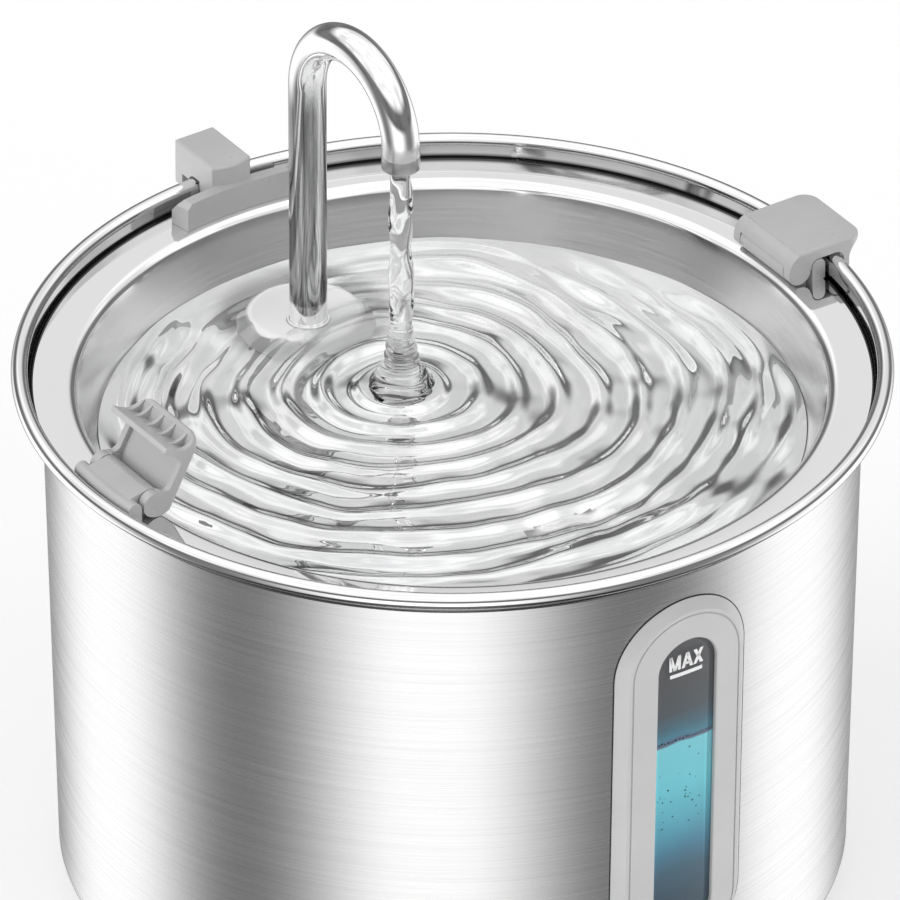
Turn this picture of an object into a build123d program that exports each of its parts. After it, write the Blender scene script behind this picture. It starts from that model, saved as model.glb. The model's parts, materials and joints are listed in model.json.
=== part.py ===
from build123d import *
import math
import os

# Pet water fountain: a steel bucket with a level window, a pump on its floor, and a
# drinking tray with two snap latches, a cord bridge and a gooseneck faucet.
# Millimetres. +Z up, the window faces -Y, the origin is the centre of the resting face.

# ---------------------------------------------------------------- clearances
small_gap = 0.3             # between pieces that move past each other
running = 0.05              # radial, round a pin or tube that turns or slides
seat_gap = 0.1              # under a piece that rests and lifts off

# ---------------------------------------------------------------- driving dimensions
# bucket, deep-drawn from one sheet
sheet = 0.8
rim_radius = 115.0
bucket_height = 150.0
bead_diameter = 4.4         # rolled rim
shoulder_width = 3.5        # from the recess wall in to the body below it
body_taper = 1.4            # degrees, narrower towards the floor
ledge_round = 1.2
recess_round = 2.2
bottom_corner_radius = 6.0
foot_height = 1.5
foot_inset = 4.6            # from the edge of the floor's flat part
foot_width = 11.0
foot_round = 0.4

# tray
flange_clearance = 1.3      # from the flange out to the recess wall
flange_width = 10.8         # to the basin wall
flange_drop = 6.0           # top of the flange below the rim's top
mouth_round = 3.4
basin_depth = 27.0          # from the flange down to the basin's floor
basin_slope = 23.0          # degrees, lean of the basin wall
basin_round = 8.0
drain_radius = 1.6
drain_count = 14
drain_ring_radius = 22.5
drain_arc = 210.0           # degrees of the ring that carries holes

# level window, a stadium shape on the front of the body
window_drop = 37.3          # from the rim's top to the centre of the upper round end
window_length = 74.0        # between the centres of the two round ends
bezel_radius = 20.2
bezel_proud = 2.8
bezel_slope = 2.6           # width and height of its sloping side
groove_radius = 16.7        # of the fine line round the bezel's flat face
groove_width = 0.5
groove_depth = 0.4
opening_radius = 9.1
opening_round = 0.5
lens_recess = 1.3           # from the bezel's face down to the lens
lens_thickness = 2.0
lens_rim = 3.0              # width of the lens behind the bezel
bezel_rib = 1.8             # width of the bezel's rib in the wall's opening
gasket_thickness = 0.8
retainer_thickness = 2.4
retainer_radius = 20.0
window_screw_radius = 1.1
window_screw_head_radius = 2.0
window_screw_head = 1.3
window_screw_bite = 1.8     # into the bezel
screw_seat_depth = 0.2

# faucet, behind the tray's centre with its spout towards it
faucet_azimuth = 92.6
faucet_inset = 35.0         # from the basin's mouth to the tube's axis
faucet_foot_drop = 19.0     # foot of the tube below the rim's top
tube_radius = 5.0
tube_wall = 1.0
arch_radius = 20.5
tube_rise = 72.4            # from the foot to the start of the arch
spout_length = 1.5          # straight run between the arch and the outlet ring
outlet_length = 4.0
outlet_radius = 5.1
outlet_bore = 2.8
outlet_spigot = 3.0
collar_wall = 0.65
collar_depth = 14.0
collar_proud = 0.5
collar_lip = 1.0
faucet_seal_height = 1.6

# dome that carries the faucet, its centre set back from the tube
dome_offset_x = 1.5
dome_offset_y = 3.7
dome_top_radius = 15.3
dome_shoulder_round = 2.6
dome_skirt_radius = 18.3
dome_skirt_drop = 7.0
dome_skirt_round = 1.5
dome_foot_radius = 14.6
stem_radius = 7.2
stem_length = 39.0          # below the basin's floor
water_bore = 3.6
base_seal_thickness = 1.0
base_seal_width = 1.8

# filter under the tray
holder_radius = 29.0
holder_height = 27.0
holder_wall = 1.5
holder_shift = 14.0         # of the cup's centre from the stem, towards the tray's centre
holder_hub_wall = 2.6
holder_hole_radius = 2.2
holder_hole_count = 14
holder_hole_ring = 21.0
cartridge_gap = 0.4
cartridge_height = 20.0
nut_radius = 15.0
nut_height = 6.0
nut_notch_radius = 2.4
nut_notch_count = 8

# riser between the pump and the stem
riser_radius = 5.5
riser_wall = 1.2
riser_engagement = 10.0
riser_lift = 1.0            # gap between the riser and the pump
riser_seal_wall = 1.2
riser_seal_height = 9.0

# pump, on the bucket's floor below the faucet
pump_width = 46.0
pump_height = 40.0
pump_wall = 1.6
pump_corner = 4.0
pump_stand = 4.0
chamber_depth = 14.0
partition = 2.0
motor_depth = 20.0
rotor_height = 25.0         # rotor axis above the pump's underside
impeller_radius = 11.0
impeller_width = 7.0
impeller_disc = 1.2
blade_count = 6
blade_thickness = 1.2
impeller_hub_radius = 2.8
impeller_neck_radius = 4.0
impeller_neck = 0.8
impeller_play = 0.5
volute_gap = 1.6
magnet_radius = 5.6
magnet_length = 19.0
well_gap = 0.5
well_wall = 1.0
shaft_radius = 1.0
bush_radius = 2.4
bush_length = 2.0
bush_holder_wall = 1.0
cover_plate = 2.0
cover_plug = 2.5
cover_arm_count = 3
cover_arm = 1.2
intake_bore = 5.8
oring_radius = 0.9
grille_depth = 12.0
grille_wall = 1.5
grille_slot = 1.8
grille_slot_length = 30.0
grille_slot_pitch = 4.0
grille_slot_count = 5
grille_slots_drop = 6.0     # of the top slot below the pump's top
foam_depth = 7.5
dial_radius = 7.0
dial_thickness = 2.2
dial_grip = 2.4
dial_grip_length = 11.0
dial_stem_radius = 2.0
dial_snap_radius = 2.6
dial_snap = 1.0
dial_height = 10.5          # dial axis above the pump's underside
spigot_wall = 0.95
spigot_bore = 2.0
spigot_height = 10.0
core_depth = 12.0
core_leg = 6.0
core_rise = 8.0             # of the core's legs above the rotor axis
coil_height = 7.0
coil_wrap = 2.2
rear_cap = 2.4
rear_cap_lip = 1.2
cup_radius = 7.0
cup_edge = 0.8
cup_neck_radius = 3.0
cup_spread_x = 15.0
cup_inset_y = 6.0
gland_radius = 3.6
gland_length = 5.0
gland_neck_radius = 2.6
gland_offset = 12.0
gland_drop = 9.0
cord_radius = 1.7
light_radius = 3.0
light_neck_radius = 2.2
light_setback = 10.0

# snap latch, in its own frame: r outwards from the tray's centre, t along the rim
latch_half_width = 12.8
pivot_reach = 4.05          # from the pivot to the bar
pivot_drop = 2.1            # below the rim's top
knuckle_radius = 3.4
knuckle_half_length = 9.8
latch_pin_radius = 1.0
pin_inset = 1.2             # of each end of the pin, from the lever's side
bar_clearance = 0.6         # to the recess wall
bar_thickness = 4.8
bar_top = 0.2               # above the rim's top
bar_round = 1.9
web_width = 3.6
web_drop = 1.1             # of the web's room in the nose, below the rim's top
lever_top = 3.6             # above the rim's top
nose_radius = 5.3
nose_offset = 1.95          # of the nose's centre, outwards from the pivot
lever_edge_round = 0.8
grip_length = 4.9           # from the hook out to the lever's end
lip_length = 6.3
lip_dip = 0.4
lip_thickness = 1.15
lever_corner = 4.5
hook_gap = 0.35             # between the hook and the rim
hook_thickness = 1.55
hook_drop = 6.2
hook_round = 0.5
lever_gap = 0.35            # over the bar and the bead
lever_skin = 1.7
lever_side_wall = 1.9
pocket_wall = 1.6
grip_wall = 1.2             # at the lever's end
gusset_count = 4
gusset_pitch = 5.4
gusset_thickness = 1.1
latch_opening = 118.0       # degrees from closed to open
rivet_radius = 1.3
rivet_head_radius = 2.1
rivet_head = 0.9
rivet_grip = 3.2            # depth of a rivet in the plastic above the flange
rivet_inset = 1.5           # from the bar to the rivets
latch_rivet_half_spacing = 6.0

# cord bridge, in the same kind of frame
bridge_half_width = 6.1
bridge_top = 7.4            # above the rim's top
bridge_seat = 6.4           # from the recess wall in to the block's inner face
bridge_bulge = 1.8
bridge_reach = 7.2          # outwards past the rim
bridge_leg = 3.7
bridge_leg_drop = 5.3
bridge_eave_drop = 1.5
bridge_round = 0.7
bridge_gap = 0.4            # over the bead
strip_width = 6.4
strip_crest_width = 3.2
strip_lead = 3.4            # of the strip's inner edge, inwards from the block
strip_top = 2.0
strip_toe_drop = 2.0
strip_half_angle = 9.6
strip_end_bevel = 1.5
cord_inset = 0.5            # of the cord's way, inwards from the block's inner face
tunnel_height = 3.4         # axis of the cord's way out, above the rim's top
tunnel_turn = 0.3           # where it turns outwards, above the rim's top
tunnel_level = 1.1          # where it turns level, inwards from the recess wall
cord_spigot_wall = 0.7
cord_spigot_drop = 1.2
bridge_rivet_angle = 6.6

# ---------------------------------------------------------------- shared places
rim_top = foot_height + bucket_height
floor_under = foot_height
floor_top = floor_under + sheet
bead_radius = bead_diameter / 2
bead_z = rim_top - bead_radius
bead_centre = rim_radius - bead_radius
recess_radius = rim_radius - bead_diameter
body_radius = recess_radius - shoulder_width    # outside, just below the shoulder
flange_radius = recess_radius - flange_clearance
mouth_radius = flange_radius - flange_width     # where the flange and basin wall would meet
flange_z = rim_top - flange_drop
flange_under = flange_z - sheet
ledge_z = flange_under - seat_gap
basin_z = flange_z - basin_depth
basin_under = basin_z - sheet
foot_z = rim_top - faucet_foot_drop
faucet_distance = mouth_radius - faucet_inset
faucet_x = faucet_distance * math.cos(math.radians(faucet_azimuth))
faucet_y = faucet_distance * math.sin(math.radians(faucet_azimuth))
spout_turn = faucet_azimuth + 180
dome_x = faucet_x + dome_offset_x
dome_y = faucet_y + dome_offset_y
dome_offset = math.hypot(dome_offset_x, dome_offset_y)
collar_radius = tube_radius + running + collar_wall
collar_low = foot_z + collar_proud - collar_depth
tube_end_z = collar_low + collar_lip + faucet_seal_height + seat_gap
arch_z = foot_z + tube_rise
stem_low = basin_z - stem_length
stem_hole = stem_radius + small_gap
holder_low = basin_under - holder_height
holder_x = faucet_x * (1 - holder_shift / faucet_distance)
holder_y = faucet_y * (1 - holder_shift / faucet_distance)
window_high = rim_top - window_drop
window_low = window_high - window_length
window_middle = (window_high + window_low) / 2
lens_radius = opening_radius + lens_rim
rib_inner = lens_radius + small_gap
wall_opening = rib_inner + bezel_rib + small_gap
pump_under = floor_top + pump_stand
pump_top = pump_under + pump_height
pump_middle = pump_under + pump_height / 2
rotor_z = pump_under + rotor_height
chamber_radius = impeller_radius + volute_gap
chamber_front = -chamber_depth / 2              # along Y from the riser's axis
chamber_back = chamber_depth / 2
cover_front = chamber_front - cover_plate
grille_front = cover_front - grille_depth
motor_front = chamber_back + partition
motor_back = motor_front + motor_depth
impeller_front = chamber_front + cover_plug + impeller_play
impeller_back = impeller_front + impeller_width
magnet_start = impeller_back + impeller_disc + impeller_neck
magnet_end = magnet_start + magnet_length
well_radius = magnet_radius + well_gap
well_end = magnet_end + small_gap
core_middle = motor_front + small_gap + coil_wrap + core_depth / 2
core_inner = well_radius + well_wall + small_gap
core_low = pump_under + pump_wall
coil_low = core_low + core_leg
spigot_radius = spigot_bore + spigot_wall
riser_low = pump_top + riser_lift
riser_high = stem_low + riser_engagement
bar_outer = recess_radius - bar_clearance
bar_inner = bar_outer - bar_thickness
web_inner = bar_inner - web_width
pivot_radius = bar_inner - pivot_reach
pivot_z = rim_top - pivot_drop
rivet_circle = bar_inner - rivet_inset
bar_top_z = rim_top + bar_top
lever_top_z = rim_top + lever_top
hook_inner = rim_radius + hook_gap
hook_outer = hook_inner + hook_thickness
lever_end = hook_outer + grip_length
lip_start = lever_end - lip_length
bridge_inner = recess_radius - bridge_seat
bridge_outer = rim_radius + bridge_reach
strip_inner = bridge_inner - strip_lead
strip_outer = strip_inner + strip_width
strip_crest = strip_inner + strip_crest_width
cord_path_radius = bridge_inner - cord_inset
EVERY_LOW = (Align.MIN, Align.MIN, Align.MIN)
STANDING = (Align.CENTER, Align.CENTER, Align.MIN)


# ---------------------------------------------------------------- shapes used by many pieces
def post(radius, low, high, x=0.0, y=0.0):
    """A round bar along Z."""
    return Pos(x, y, low) * Cylinder(radius, high - low, align=STANDING)


def ring(outer, inner, low, high, x=0.0, y=0.0):
    """A tube along Z."""
    return post(outer, low, high, x, y) - post(inner, low - sheet, high + sheet, x, y)


def rod(radius, start, end, x, z):
    """A round bar along Y."""
    return Pos(x, start, z) * Rot(-90, 0, 0) * Cylinder(radius, end - start, align=STANDING)


def block(x_low, x_high, y_low, y_high, z_low, z_high):
    """A box between two corners."""
    size = Box(x_high - x_low, y_high - y_low, z_high - z_low, align=EVERY_LOW)
    return Pos(x_low, y_low, z_low) * size


def outline(*corners):
    """A closed face from corners (across, up) or (across, up, radius of the rounding)."""
    points = [corner[:2] for corner in corners]
    radii = [corner[2] if len(corner) > 2 else 0 for corner in corners]
    return make_face(FilletPolyline(*points, radius=radii, close=True))


def turned(*corners):
    """A solid of revolution about Z from its (radius, z) outline."""
    return revolve(Plane.XZ * outline(*corners), Axis.Z)


def along_y(face, start, end):
    """An (x, z) face made into a bar along Y."""
    return extrude(Plane.XZ.offset(-end) * face, end - start)


def across_rim(face, half_width):
    """An (r, z) face of a latch or bridge made into a bar along t."""
    return along_y(face, -half_width, half_width)


def arc_places(count, arc, radius, x, y):
    """Places on an arc that is centred on the faucet's side of the tray's centre."""
    step = arc / (count - 1)
    for index in range(count):
        angle = math.radians(spout_turn - arc / 2 + step * index)
        yield x + radius * math.cos(angle), y + radius * math.sin(angle)


# ---------------------------------------------------------------- bucket
def body_outer(z):
    """Outside radius of the bucket's body at a height."""
    return body_radius - (ledge_z - z) * math.tan(math.radians(body_taper))


def make_bucket():
    wall = outline(
        (0, floor_under),
        (body_outer(floor_under), floor_under, bottom_corner_radius),
        (body_outer(ledge_z - sheet), ledge_z - sheet, ledge_round),
        (recess_radius + sheet, ledge_z - sheet, recess_round),
        (recess_radius + sheet, bead_z),
        (recess_radius, bead_z),
        (recess_radius, ledge_z, recess_round - sheet),
        (body_outer(ledge_z) - sheet, ledge_z, ledge_round + sheet),
        (body_outer(floor_top) - sheet, floor_top, bottom_corner_radius - sheet),
        (0, floor_top),
    )
    curl = Circle(bead_radius) - Circle(bead_radius - sheet)
    curl = curl - Pos(-bead_radius / 2, -bead_radius / 2) * Rectangle(bead_radius, bead_radius)
    section = wall + Pos(bead_centre, bead_z) * curl
    shell = revolve(Plane.XZ * section, Axis.Z)
    shell = shell - stadium(wall_opening)
    return shell - window_screw_holes()


def make_foot_ring():
    outer = body_outer(floor_under) - bottom_corner_radius - foot_inset
    inner = outer - foot_width
    return turned(
        (inner, 0, foot_round),
        (outer, 0, foot_round),
        (outer, floor_under),
        (inner, floor_under),
    )


# ---------------------------------------------------------------- level window
def body_layer(inner, outer):
    """A layer that follows the body, between two distances outwards from its outside."""
    low = window_low - bezel_radius - bezel_proud
    high = window_high + bezel_radius + bezel_proud
    return turned(
        (body_outer(low) + inner, low),
        (body_outer(low) + outer, low),
        (body_outer(high) + outer, high),
        (body_outer(high) + inner, high),
    )


def stadium(radius):
    """A bar of the window's outline that passes through the front wall."""
    near = body_radius / 2
    slot = SlotCenterToCenter(window_length, radius * 2, rotation=90)
    return along_y(Pos(0, window_middle) * slot, -rim_radius - bezel_proud, -near)


def layer_in(radius, inner, outer):
    """The part of a body layer inside the window's outline of some radius."""
    return body_layer(inner, outer) & stadium(radius)


def front_edges(shape, proud, radius):
    """Edges on the body's outside, moved outwards by a distance, on the window's outline."""
    found = []
    for edge in shape.edges():
        ends = [edge @ 0, edge @ 0.5, edge @ 1]
        off = [abs(math.hypot(p.X, p.Y) - body_outer(p.Z) - proud) for p in ends]
        beside = [math.hypot(p.X, max(window_low - p.Z, 0, p.Z - window_high)) - radius for p in ends]
        if max(off) < running and max(map(abs, beside)) < running:
            found.append(edge)
    return found


def window_screw_places():
    """Six screws round the window, between the wall's opening and the retainer's edge."""
    across = (wall_opening + retainer_radius) / 2
    heights = (window_low, window_middle, window_high)
    return [(side * across, z) for side in (-1, 1) for z in heights]


def screw_seat(x, z):
    """Distance from the middle of the bucket, along Y, to the seat of a screw's head."""
    inside = body_outer(z) - sheet - gasket_thickness - retainer_thickness
    return math.sqrt(inside**2 - (abs(x) - window_screw_head_radius) ** 2) + screw_seat_depth


def screw_tip(x, z):
    """Distance from the middle of the bucket, along Y, to a screw's tip."""
    return math.sqrt(body_outer(z) ** 2 - x**2) + window_screw_bite


def window_screw_holes():
    holes = Part()
    for x, z in window_screw_places():
        deepest = screw_tip(x, z) + running
        holes = holes + rod(window_screw_radius + running, -deepest, -body_radius / 2, x, z)
    return holes


def make_window_bezel():
    bezel = layer_in(bezel_radius, 0, bezel_proud) - stadium(opening_radius)
    bezel = chamfer(front_edges(bezel, bezel_proud, bezel_radius), bezel_slope)
    bezel = fillet(front_edges(bezel, bezel_proud, opening_radius), opening_round)
    groove = body_layer(bezel_proud - groove_depth, bezel_proud + groove_depth)
    groove = groove & (stadium(groove_radius) - stadium(groove_radius - groove_width))
    bezel = bezel - groove
    bezel = bezel + layer_in(wall_opening - small_gap, -sheet, 0) - stadium(opening_radius)
    bezel = bezel - layer_in(rib_inner, -sheet * 2, bezel_proud - lens_recess)
    return bezel - window_screw_holes()


def make_window_lens():
    outside = bezel_proud - lens_recess
    return layer_in(lens_radius, outside - lens_thickness, outside)


def make_window_gasket():
    gasket = layer_in(retainer_radius, -sheet - gasket_thickness, -sheet - running)
    return gasket - stadium(rib_inner) - window_screw_holes()


def make_window_retainer():
    outside = -sheet - gasket_thickness
    lens_back = bezel_proud - lens_recess - lens_thickness
    frame = layer_in(retainer_radius, outside - retainer_thickness, outside)
    frame = frame + layer_in(lens_radius, outside, lens_back) - stadium(opening_radius)
    frame = frame - window_screw_holes()
    for x, z in window_screw_places():
        head_radius = window_screw_head_radius + seat_gap
        frame = frame - rod(head_radius, -screw_seat(x, z), -body_radius / 2, x, z)
    return frame


def make_window_screws():
    screws = []
    for x, z in window_screw_places():
        seat = screw_seat(x, z)
        shank = rod(window_screw_radius, -screw_tip(x, z), -seat, x, z)
        head = rod(window_screw_head_radius, -seat, window_screw_head - seat, x, z)
        screws.append(shank + head)
    return screws


# ---------------------------------------------------------------- tray
def make_tray():
    lean = math.tan(math.radians(basin_slope))
    skew = sheet / math.cos(math.radians(basin_slope))
    floor_radius = mouth_radius - basin_depth * lean
    section = outline(
        (0, basin_z),
        (floor_radius, basin_z, basin_round),
        (mouth_radius, flange_z, mouth_round),
        (flange_radius, flange_z),
        (flange_radius, flange_under),
        (mouth_radius + skew - sheet * lean, flange_under, mouth_round - sheet),
        (floor_radius + skew - sheet * lean, basin_under, basin_round + sheet),
        (0, basin_under),
    )
    tray = revolve(Plane.XZ * section, Axis.Z)
    tray = tray - through_tray(stem_hole, faucet_x, faucet_y)
    for x, y in arc_places(drain_count, drain_arc, drain_ring_radius, holder_x, holder_y):
        tray = tray - through_tray(drain_radius, x, y)
    for x, y in rivet_places():
        tray = tray - through_tray(rivet_radius, x, y)
    spigot = cord_radius + cord_spigot_wall + running
    return tray - through_tray(spigot, 0, cord_path_radius)


def through_tray(radius, x, y):
    return post(radius, basin_under - sheet, flange_z + sheet, x, y)


def latch_rivet_places():
    return [
        (side * rivet_circle, end * latch_rivet_half_spacing)
        for side in (-1, 1)
        for end in (-1, 1)
    ]


def bridge_rivet_places():
    angles = [math.radians(90 + side * bridge_rivet_angle) for side in (-1, 1)]
    return [(rivet_circle * math.cos(angle), rivet_circle * math.sin(angle)) for angle in angles]


def rivet_places():
    return latch_rivet_places() + bridge_rivet_places()


def make_rivets(places):
    """Rivets with their heads under the flange and their ends in the plastic above it."""
    rivets = []
    for x, y in places:
        shank = post(rivet_radius, flange_under, flange_z + rivet_grip, x, y)
        head = post(rivet_head_radius, flange_under - rivet_head, flange_under, x, y)
        rivets.append(shank + head)
    return rivets


def rivet_sockets(places):
    sockets = Part()
    for x, y in places:
        sockets = sockets + post(rivet_radius, flange_z - sheet, flange_z + rivet_grip, x, y)
    return sockets


# ---------------------------------------------------------------- dome, faucet and seals
def make_faucet_base():
    dome = turned(
        (0, basin_z),
        (dome_foot_radius, basin_z),
        (dome_skirt_radius, foot_z - dome_skirt_drop, dome_skirt_round),
        (dome_top_radius, foot_z, dome_shoulder_round),
        (0, foot_z),
    )
    seal_outer = dome_offset + stem_hole + small_gap + base_seal_width
    seal_inner = dome_offset + stem_hole + small_gap
    dome = dome - ring(seal_outer, seal_inner, basin_z - sheet, basin_z + base_seal_thickness)
    base = Pos(dome_x, dome_y, 0) * dome
    base = base + post(stem_radius, stem_low, basin_z + sheet, faucet_x, faucet_y)
    socket_low = collar_low - seat_gap
    base = base - post(collar_radius + running, socket_low, rim_top, faucet_x, faucet_y)
    base = base - post(water_bore, stem_low - sheet, rim_top, faucet_x, faucet_y)
    riser_socket = riser_radius + running
    return base - post(riser_socket, stem_low - sheet, riser_high, faucet_x, faucet_y)


def make_base_seal():
    inner = dome_offset + stem_hole + small_gap
    outer = inner + base_seal_width
    return ring(outer, inner, basin_z, basin_z + base_seal_thickness, dome_x, dome_y)


def make_faucet_collar():
    top = foot_z + collar_proud
    collar = post(collar_radius, collar_low, top)
    collar = collar - post(tube_radius + running, collar_low + collar_lip, top + sheet)
    collar = collar - post(tube_radius - tube_wall, collar_low - sheet, top)
    return Pos(faucet_x, faucet_y, 0) * collar


def make_faucet_seal():
    low = collar_low + collar_lip
    high = low + faucet_seal_height
    return ring(tube_radius, tube_radius - tube_wall, low, high, faucet_x, faucet_y)


def at_faucet(shape):
    """From the faucet's frame, where the spout points to +X, to the object's."""
    return Pos(faucet_x, faucet_y, 0) * Rot(0, 0, spout_turn) * shape


def make_faucet_tube():
    bore = tube_radius - tube_wall
    wall = Circle(tube_radius) - Circle(bore)
    leg = extrude(Pos(0, 0, tube_end_z) * wall, arch_z - tube_end_z)
    arch_axis = Axis((arch_radius, 0, arch_z), (0, 1, 0))
    arch = revolve(Pos(0, 0, arch_z) * wall, arch_axis, 180)
    spout = extrude(Pos(arch_radius * 2, 0, arch_z - spout_length) * wall, spout_length)
    return at_faucet(leg + arch + spout)


def make_faucet_outlet():
    spigot_radius = tube_radius - tube_wall - seat_gap
    high = arch_z - spout_length
    low = high - outlet_length
    outlet = post(outlet_radius, low, high) + post(spigot_radius, low, high + outlet_spigot)
    outlet = outlet - post(outlet_bore, low - sheet, high + outlet_spigot + sheet)
    return at_faucet(Pos(arch_radius * 2, 0, 0) * outlet)


# ---------------------------------------------------------------- filter and riser
def make_filter_holder():
    cup = post(holder_radius, holder_low, basin_under, holder_x, holder_y)
    inside = holder_radius - holder_wall
    cup = cup - post(inside, holder_low + holder_wall, rim_top, holder_x, holder_y)
    hub_radius = stem_hole + holder_hub_wall
    cup = cup + post(hub_radius, holder_low, basin_under, faucet_x, faucet_y)
    cup = cup - post(stem_hole, holder_low - sheet, rim_top, faucet_x, faucet_y)
    for x, y in arc_places(holder_hole_count, drain_arc, holder_hole_ring, holder_x, holder_y):
        cup = cup - post(holder_hole_radius, holder_low - sheet, rim_top, x, y)
    return cup


def make_filter_cartridge():
    low = holder_low + holder_wall
    high = low + cartridge_height
    outer = holder_radius - holder_wall - cartridge_gap
    hole = stem_hole + holder_hub_wall + cartridge_gap
    block_of_foam = post(outer, low, high, holder_x, holder_y)
    return block_of_foam - post(hole, low - sheet, high + sheet, faucet_x, faucet_y)


def make_base_nut():
    nut = ring(nut_radius, stem_radius + running, holder_low - nut_height, holder_low)
    for index in range(nut_notch_count):
        angle = math.tau * index / nut_notch_count
        x = nut_radius * math.cos(angle)
        y = nut_radius * math.sin(angle)
        nut = nut - post(nut_notch_radius, holder_low - nut_height - sheet, rim_top, x, y)
    return Pos(faucet_x, faucet_y, 0) * nut


def make_riser_pipe():
    inner = riser_radius - riser_wall
    return ring(riser_radius, inner, riser_low, riser_high, faucet_x, faucet_y)


def make_riser_seal():
    outer = spigot_radius + running + riser_seal_wall
    low = pump_top
    high = low + riser_seal_height
    return ring(outer, spigot_radius + running, low, high, faucet_x, faucet_y)


# ---------------------------------------------------------------- pump, in its own frame
def at_pump(shape):
    return Pos(faucet_x, faucet_y, 0) * shape


def pump_slab(inset, start, end):
    """The pump's rounded outline, inset by a distance, as a bar along Y."""
    corner = max(pump_corner - inset, pump_corner / 4)
    face = RectangleRounded(pump_width - inset * 2, pump_height - inset * 2, corner)
    return along_y(Pos(0, pump_middle) * face, start, end)


def make_pump_body():
    body = pump_slab(0, chamber_front, motor_back)
    body = body - pump_slab(pump_wall, motor_front, motor_back + sheet)
    body = body + rod(well_radius + well_wall, chamber_back, well_end + bush_length + well_wall, 0, rotor_z)
    body = body - rod(chamber_radius, chamber_front - sheet, chamber_back, 0, rotor_z)
    body = body - rod(well_radius, chamber_back - sheet, well_end, 0, rotor_z)
    body = body - rod(bush_radius + running, well_end - sheet, well_end + bush_length, 0, rotor_z)
    body = body + post(spigot_radius, pump_top - pump_wall, pump_top + spigot_height)
    body = body - post(spigot_bore, rotor_z + impeller_radius, pump_top + spigot_height + sheet)
    hole = light_neck_radius + running
    return at_pump(body - post(hole, pump_top - pump_wall * 2, rim_top, 0, motor_front + light_setback))


def make_impeller_cover():
    cover = pump_slab(0, cover_front, chamber_front)
    plug_end = chamber_front + cover_plug
    plug_radius = chamber_radius - running
    cover = cover + rod(plug_radius, chamber_front, plug_end, 0, rotor_z)
    cover = cover - rod(intake_bore, cover_front - sheet, plug_end + sheet, 0, rotor_z)
    holder = bush_radius + bush_holder_wall
    spider = rod(holder, chamber_front, plug_end, 0, rotor_z)
    for index in range(cover_arm_count):
        arm = block(0, intake_bore + sheet / 2, chamber_front, plug_end, -cover_arm / 2, cover_arm / 2)
        spider = spider + Pos(0, 0, rotor_z) * Rot(0, 360 * index / cover_arm_count, 0) * arm
    cover = cover + spider
    cover = cover - rod(bush_radius + running, chamber_front, plug_end + sheet, 0, rotor_z)
    groove_inner = plug_radius - oring_radius * 2
    groove_start = chamber_front + (cover_plug - oring_radius * 2) / 2
    groove_end = groove_start + oring_radius * 2
    groove = rod(chamber_radius, groove_start, groove_end, 0, rotor_z)
    groove = groove - rod(groove_inner, groove_start, groove_end, 0, rotor_z)
    return at_pump(cover - groove)


def make_pump_oring():
    centre = chamber_radius - running - oring_radius
    place = Pos(0, chamber_front + cover_plug / 2, rotor_z)
    return at_pump(place * Rot(90, 0, 0) * Torus(centre, oring_radius))


def make_intake_grille():
    grille = pump_slab(0, grille_front, cover_front)
    grille = grille - pump_slab(grille_wall, grille_front + grille_wall, cover_front + sheet)
    half = grille_slot_length / 2
    for index in range(grille_slot_count):
        z = pump_top - grille_slots_drop - index * grille_slot_pitch
        front = grille_front - sheet
        slot = block(-half, half, front, grille_front + grille_wall * 2, z - grille_slot, z)
        grille = grille - slot
    hole = rod(dial_stem_radius + running, grille_front - sheet, cover_front, 0, dial_z())
    return at_pump(grille - hole)


def make_prefilter_foam():
    return at_pump(pump_slab(grille_wall + small_gap, cover_front - foam_depth, cover_front))


def dial_z():
    return pump_under + dial_height


def make_flow_dial():
    back = grille_front - small_gap
    front = back - dial_thickness
    snap_start = grille_front + grille_wall + small_gap
    dial = rod(dial_radius, front, back, 0, dial_z())
    dial = dial + rod(dial_stem_radius, back, snap_start, 0, dial_z())
    dial = dial + rod(dial_snap_radius, snap_start, snap_start + dial_snap, 0, dial_z())
    half = dial_grip / 2
    long_half = dial_grip_length / 2
    grip = block(-half, half, front - dial_grip, front, dial_z() - long_half, dial_z() + long_half)
    return at_pump(dial + grip)


def make_impeller():
    bore = shaft_radius + running
    wheel = rod(impeller_hub_radius, impeller_front, impeller_back, 0, 0)
    for index in range(blade_count):
        half = blade_thickness / 2
        blade = block(0, impeller_radius, impeller_front, impeller_back, -half, half)
        wheel = wheel + Rot(0, 360 * index / blade_count, 0) * blade
    disc_end = impeller_back + impeller_disc
    wheel = wheel & rod(impeller_radius, impeller_front, impeller_back, 0, 0)
    wheel = wheel + rod(impeller_radius, impeller_back, disc_end, 0, 0)
    wheel = wheel + rod(impeller_neck_radius, disc_end, magnet_start, 0, 0)
    wheel = wheel - rod(bore, impeller_front - sheet, magnet_start + sheet, 0, 0)
    return at_pump(Pos(0, 0, rotor_z) * wheel)


def make_rotor_magnet():
    magnet = rod(magnet_radius, magnet_start, magnet_end, 0, rotor_z)
    bore = rod(shaft_radius + running, magnet_start - sheet, magnet_end + sheet, 0, rotor_z)
    return at_pump(magnet - bore)


def make_impeller_shaft():
    return at_pump(rod(shaft_radius, chamber_front, well_end + bush_length, 0, rotor_z))


def make_shaft_bushes():
    bushes = []
    for start in (chamber_front, well_end):
        bush = rod(bush_radius, start, start + bush_length, 0, rotor_z)
        bore = rod(shaft_radius, start - sheet, start + bush_length + sheet, 0, rotor_z)
        bushes.append(at_pump(bush - bore))
    return bushes


def core_leg_block(side, low, high, grow=0.0):
    """One leg of the motor's core, or the same block grown sideways by the coil's wrap."""
    near = core_inner - grow
    far = core_inner + core_leg + grow
    y_half = core_depth / 2 + grow
    x_low, x_high = sorted((side * near, side * far))
    return block(x_low, x_high, core_middle - y_half, core_middle + y_half, low, high)


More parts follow.
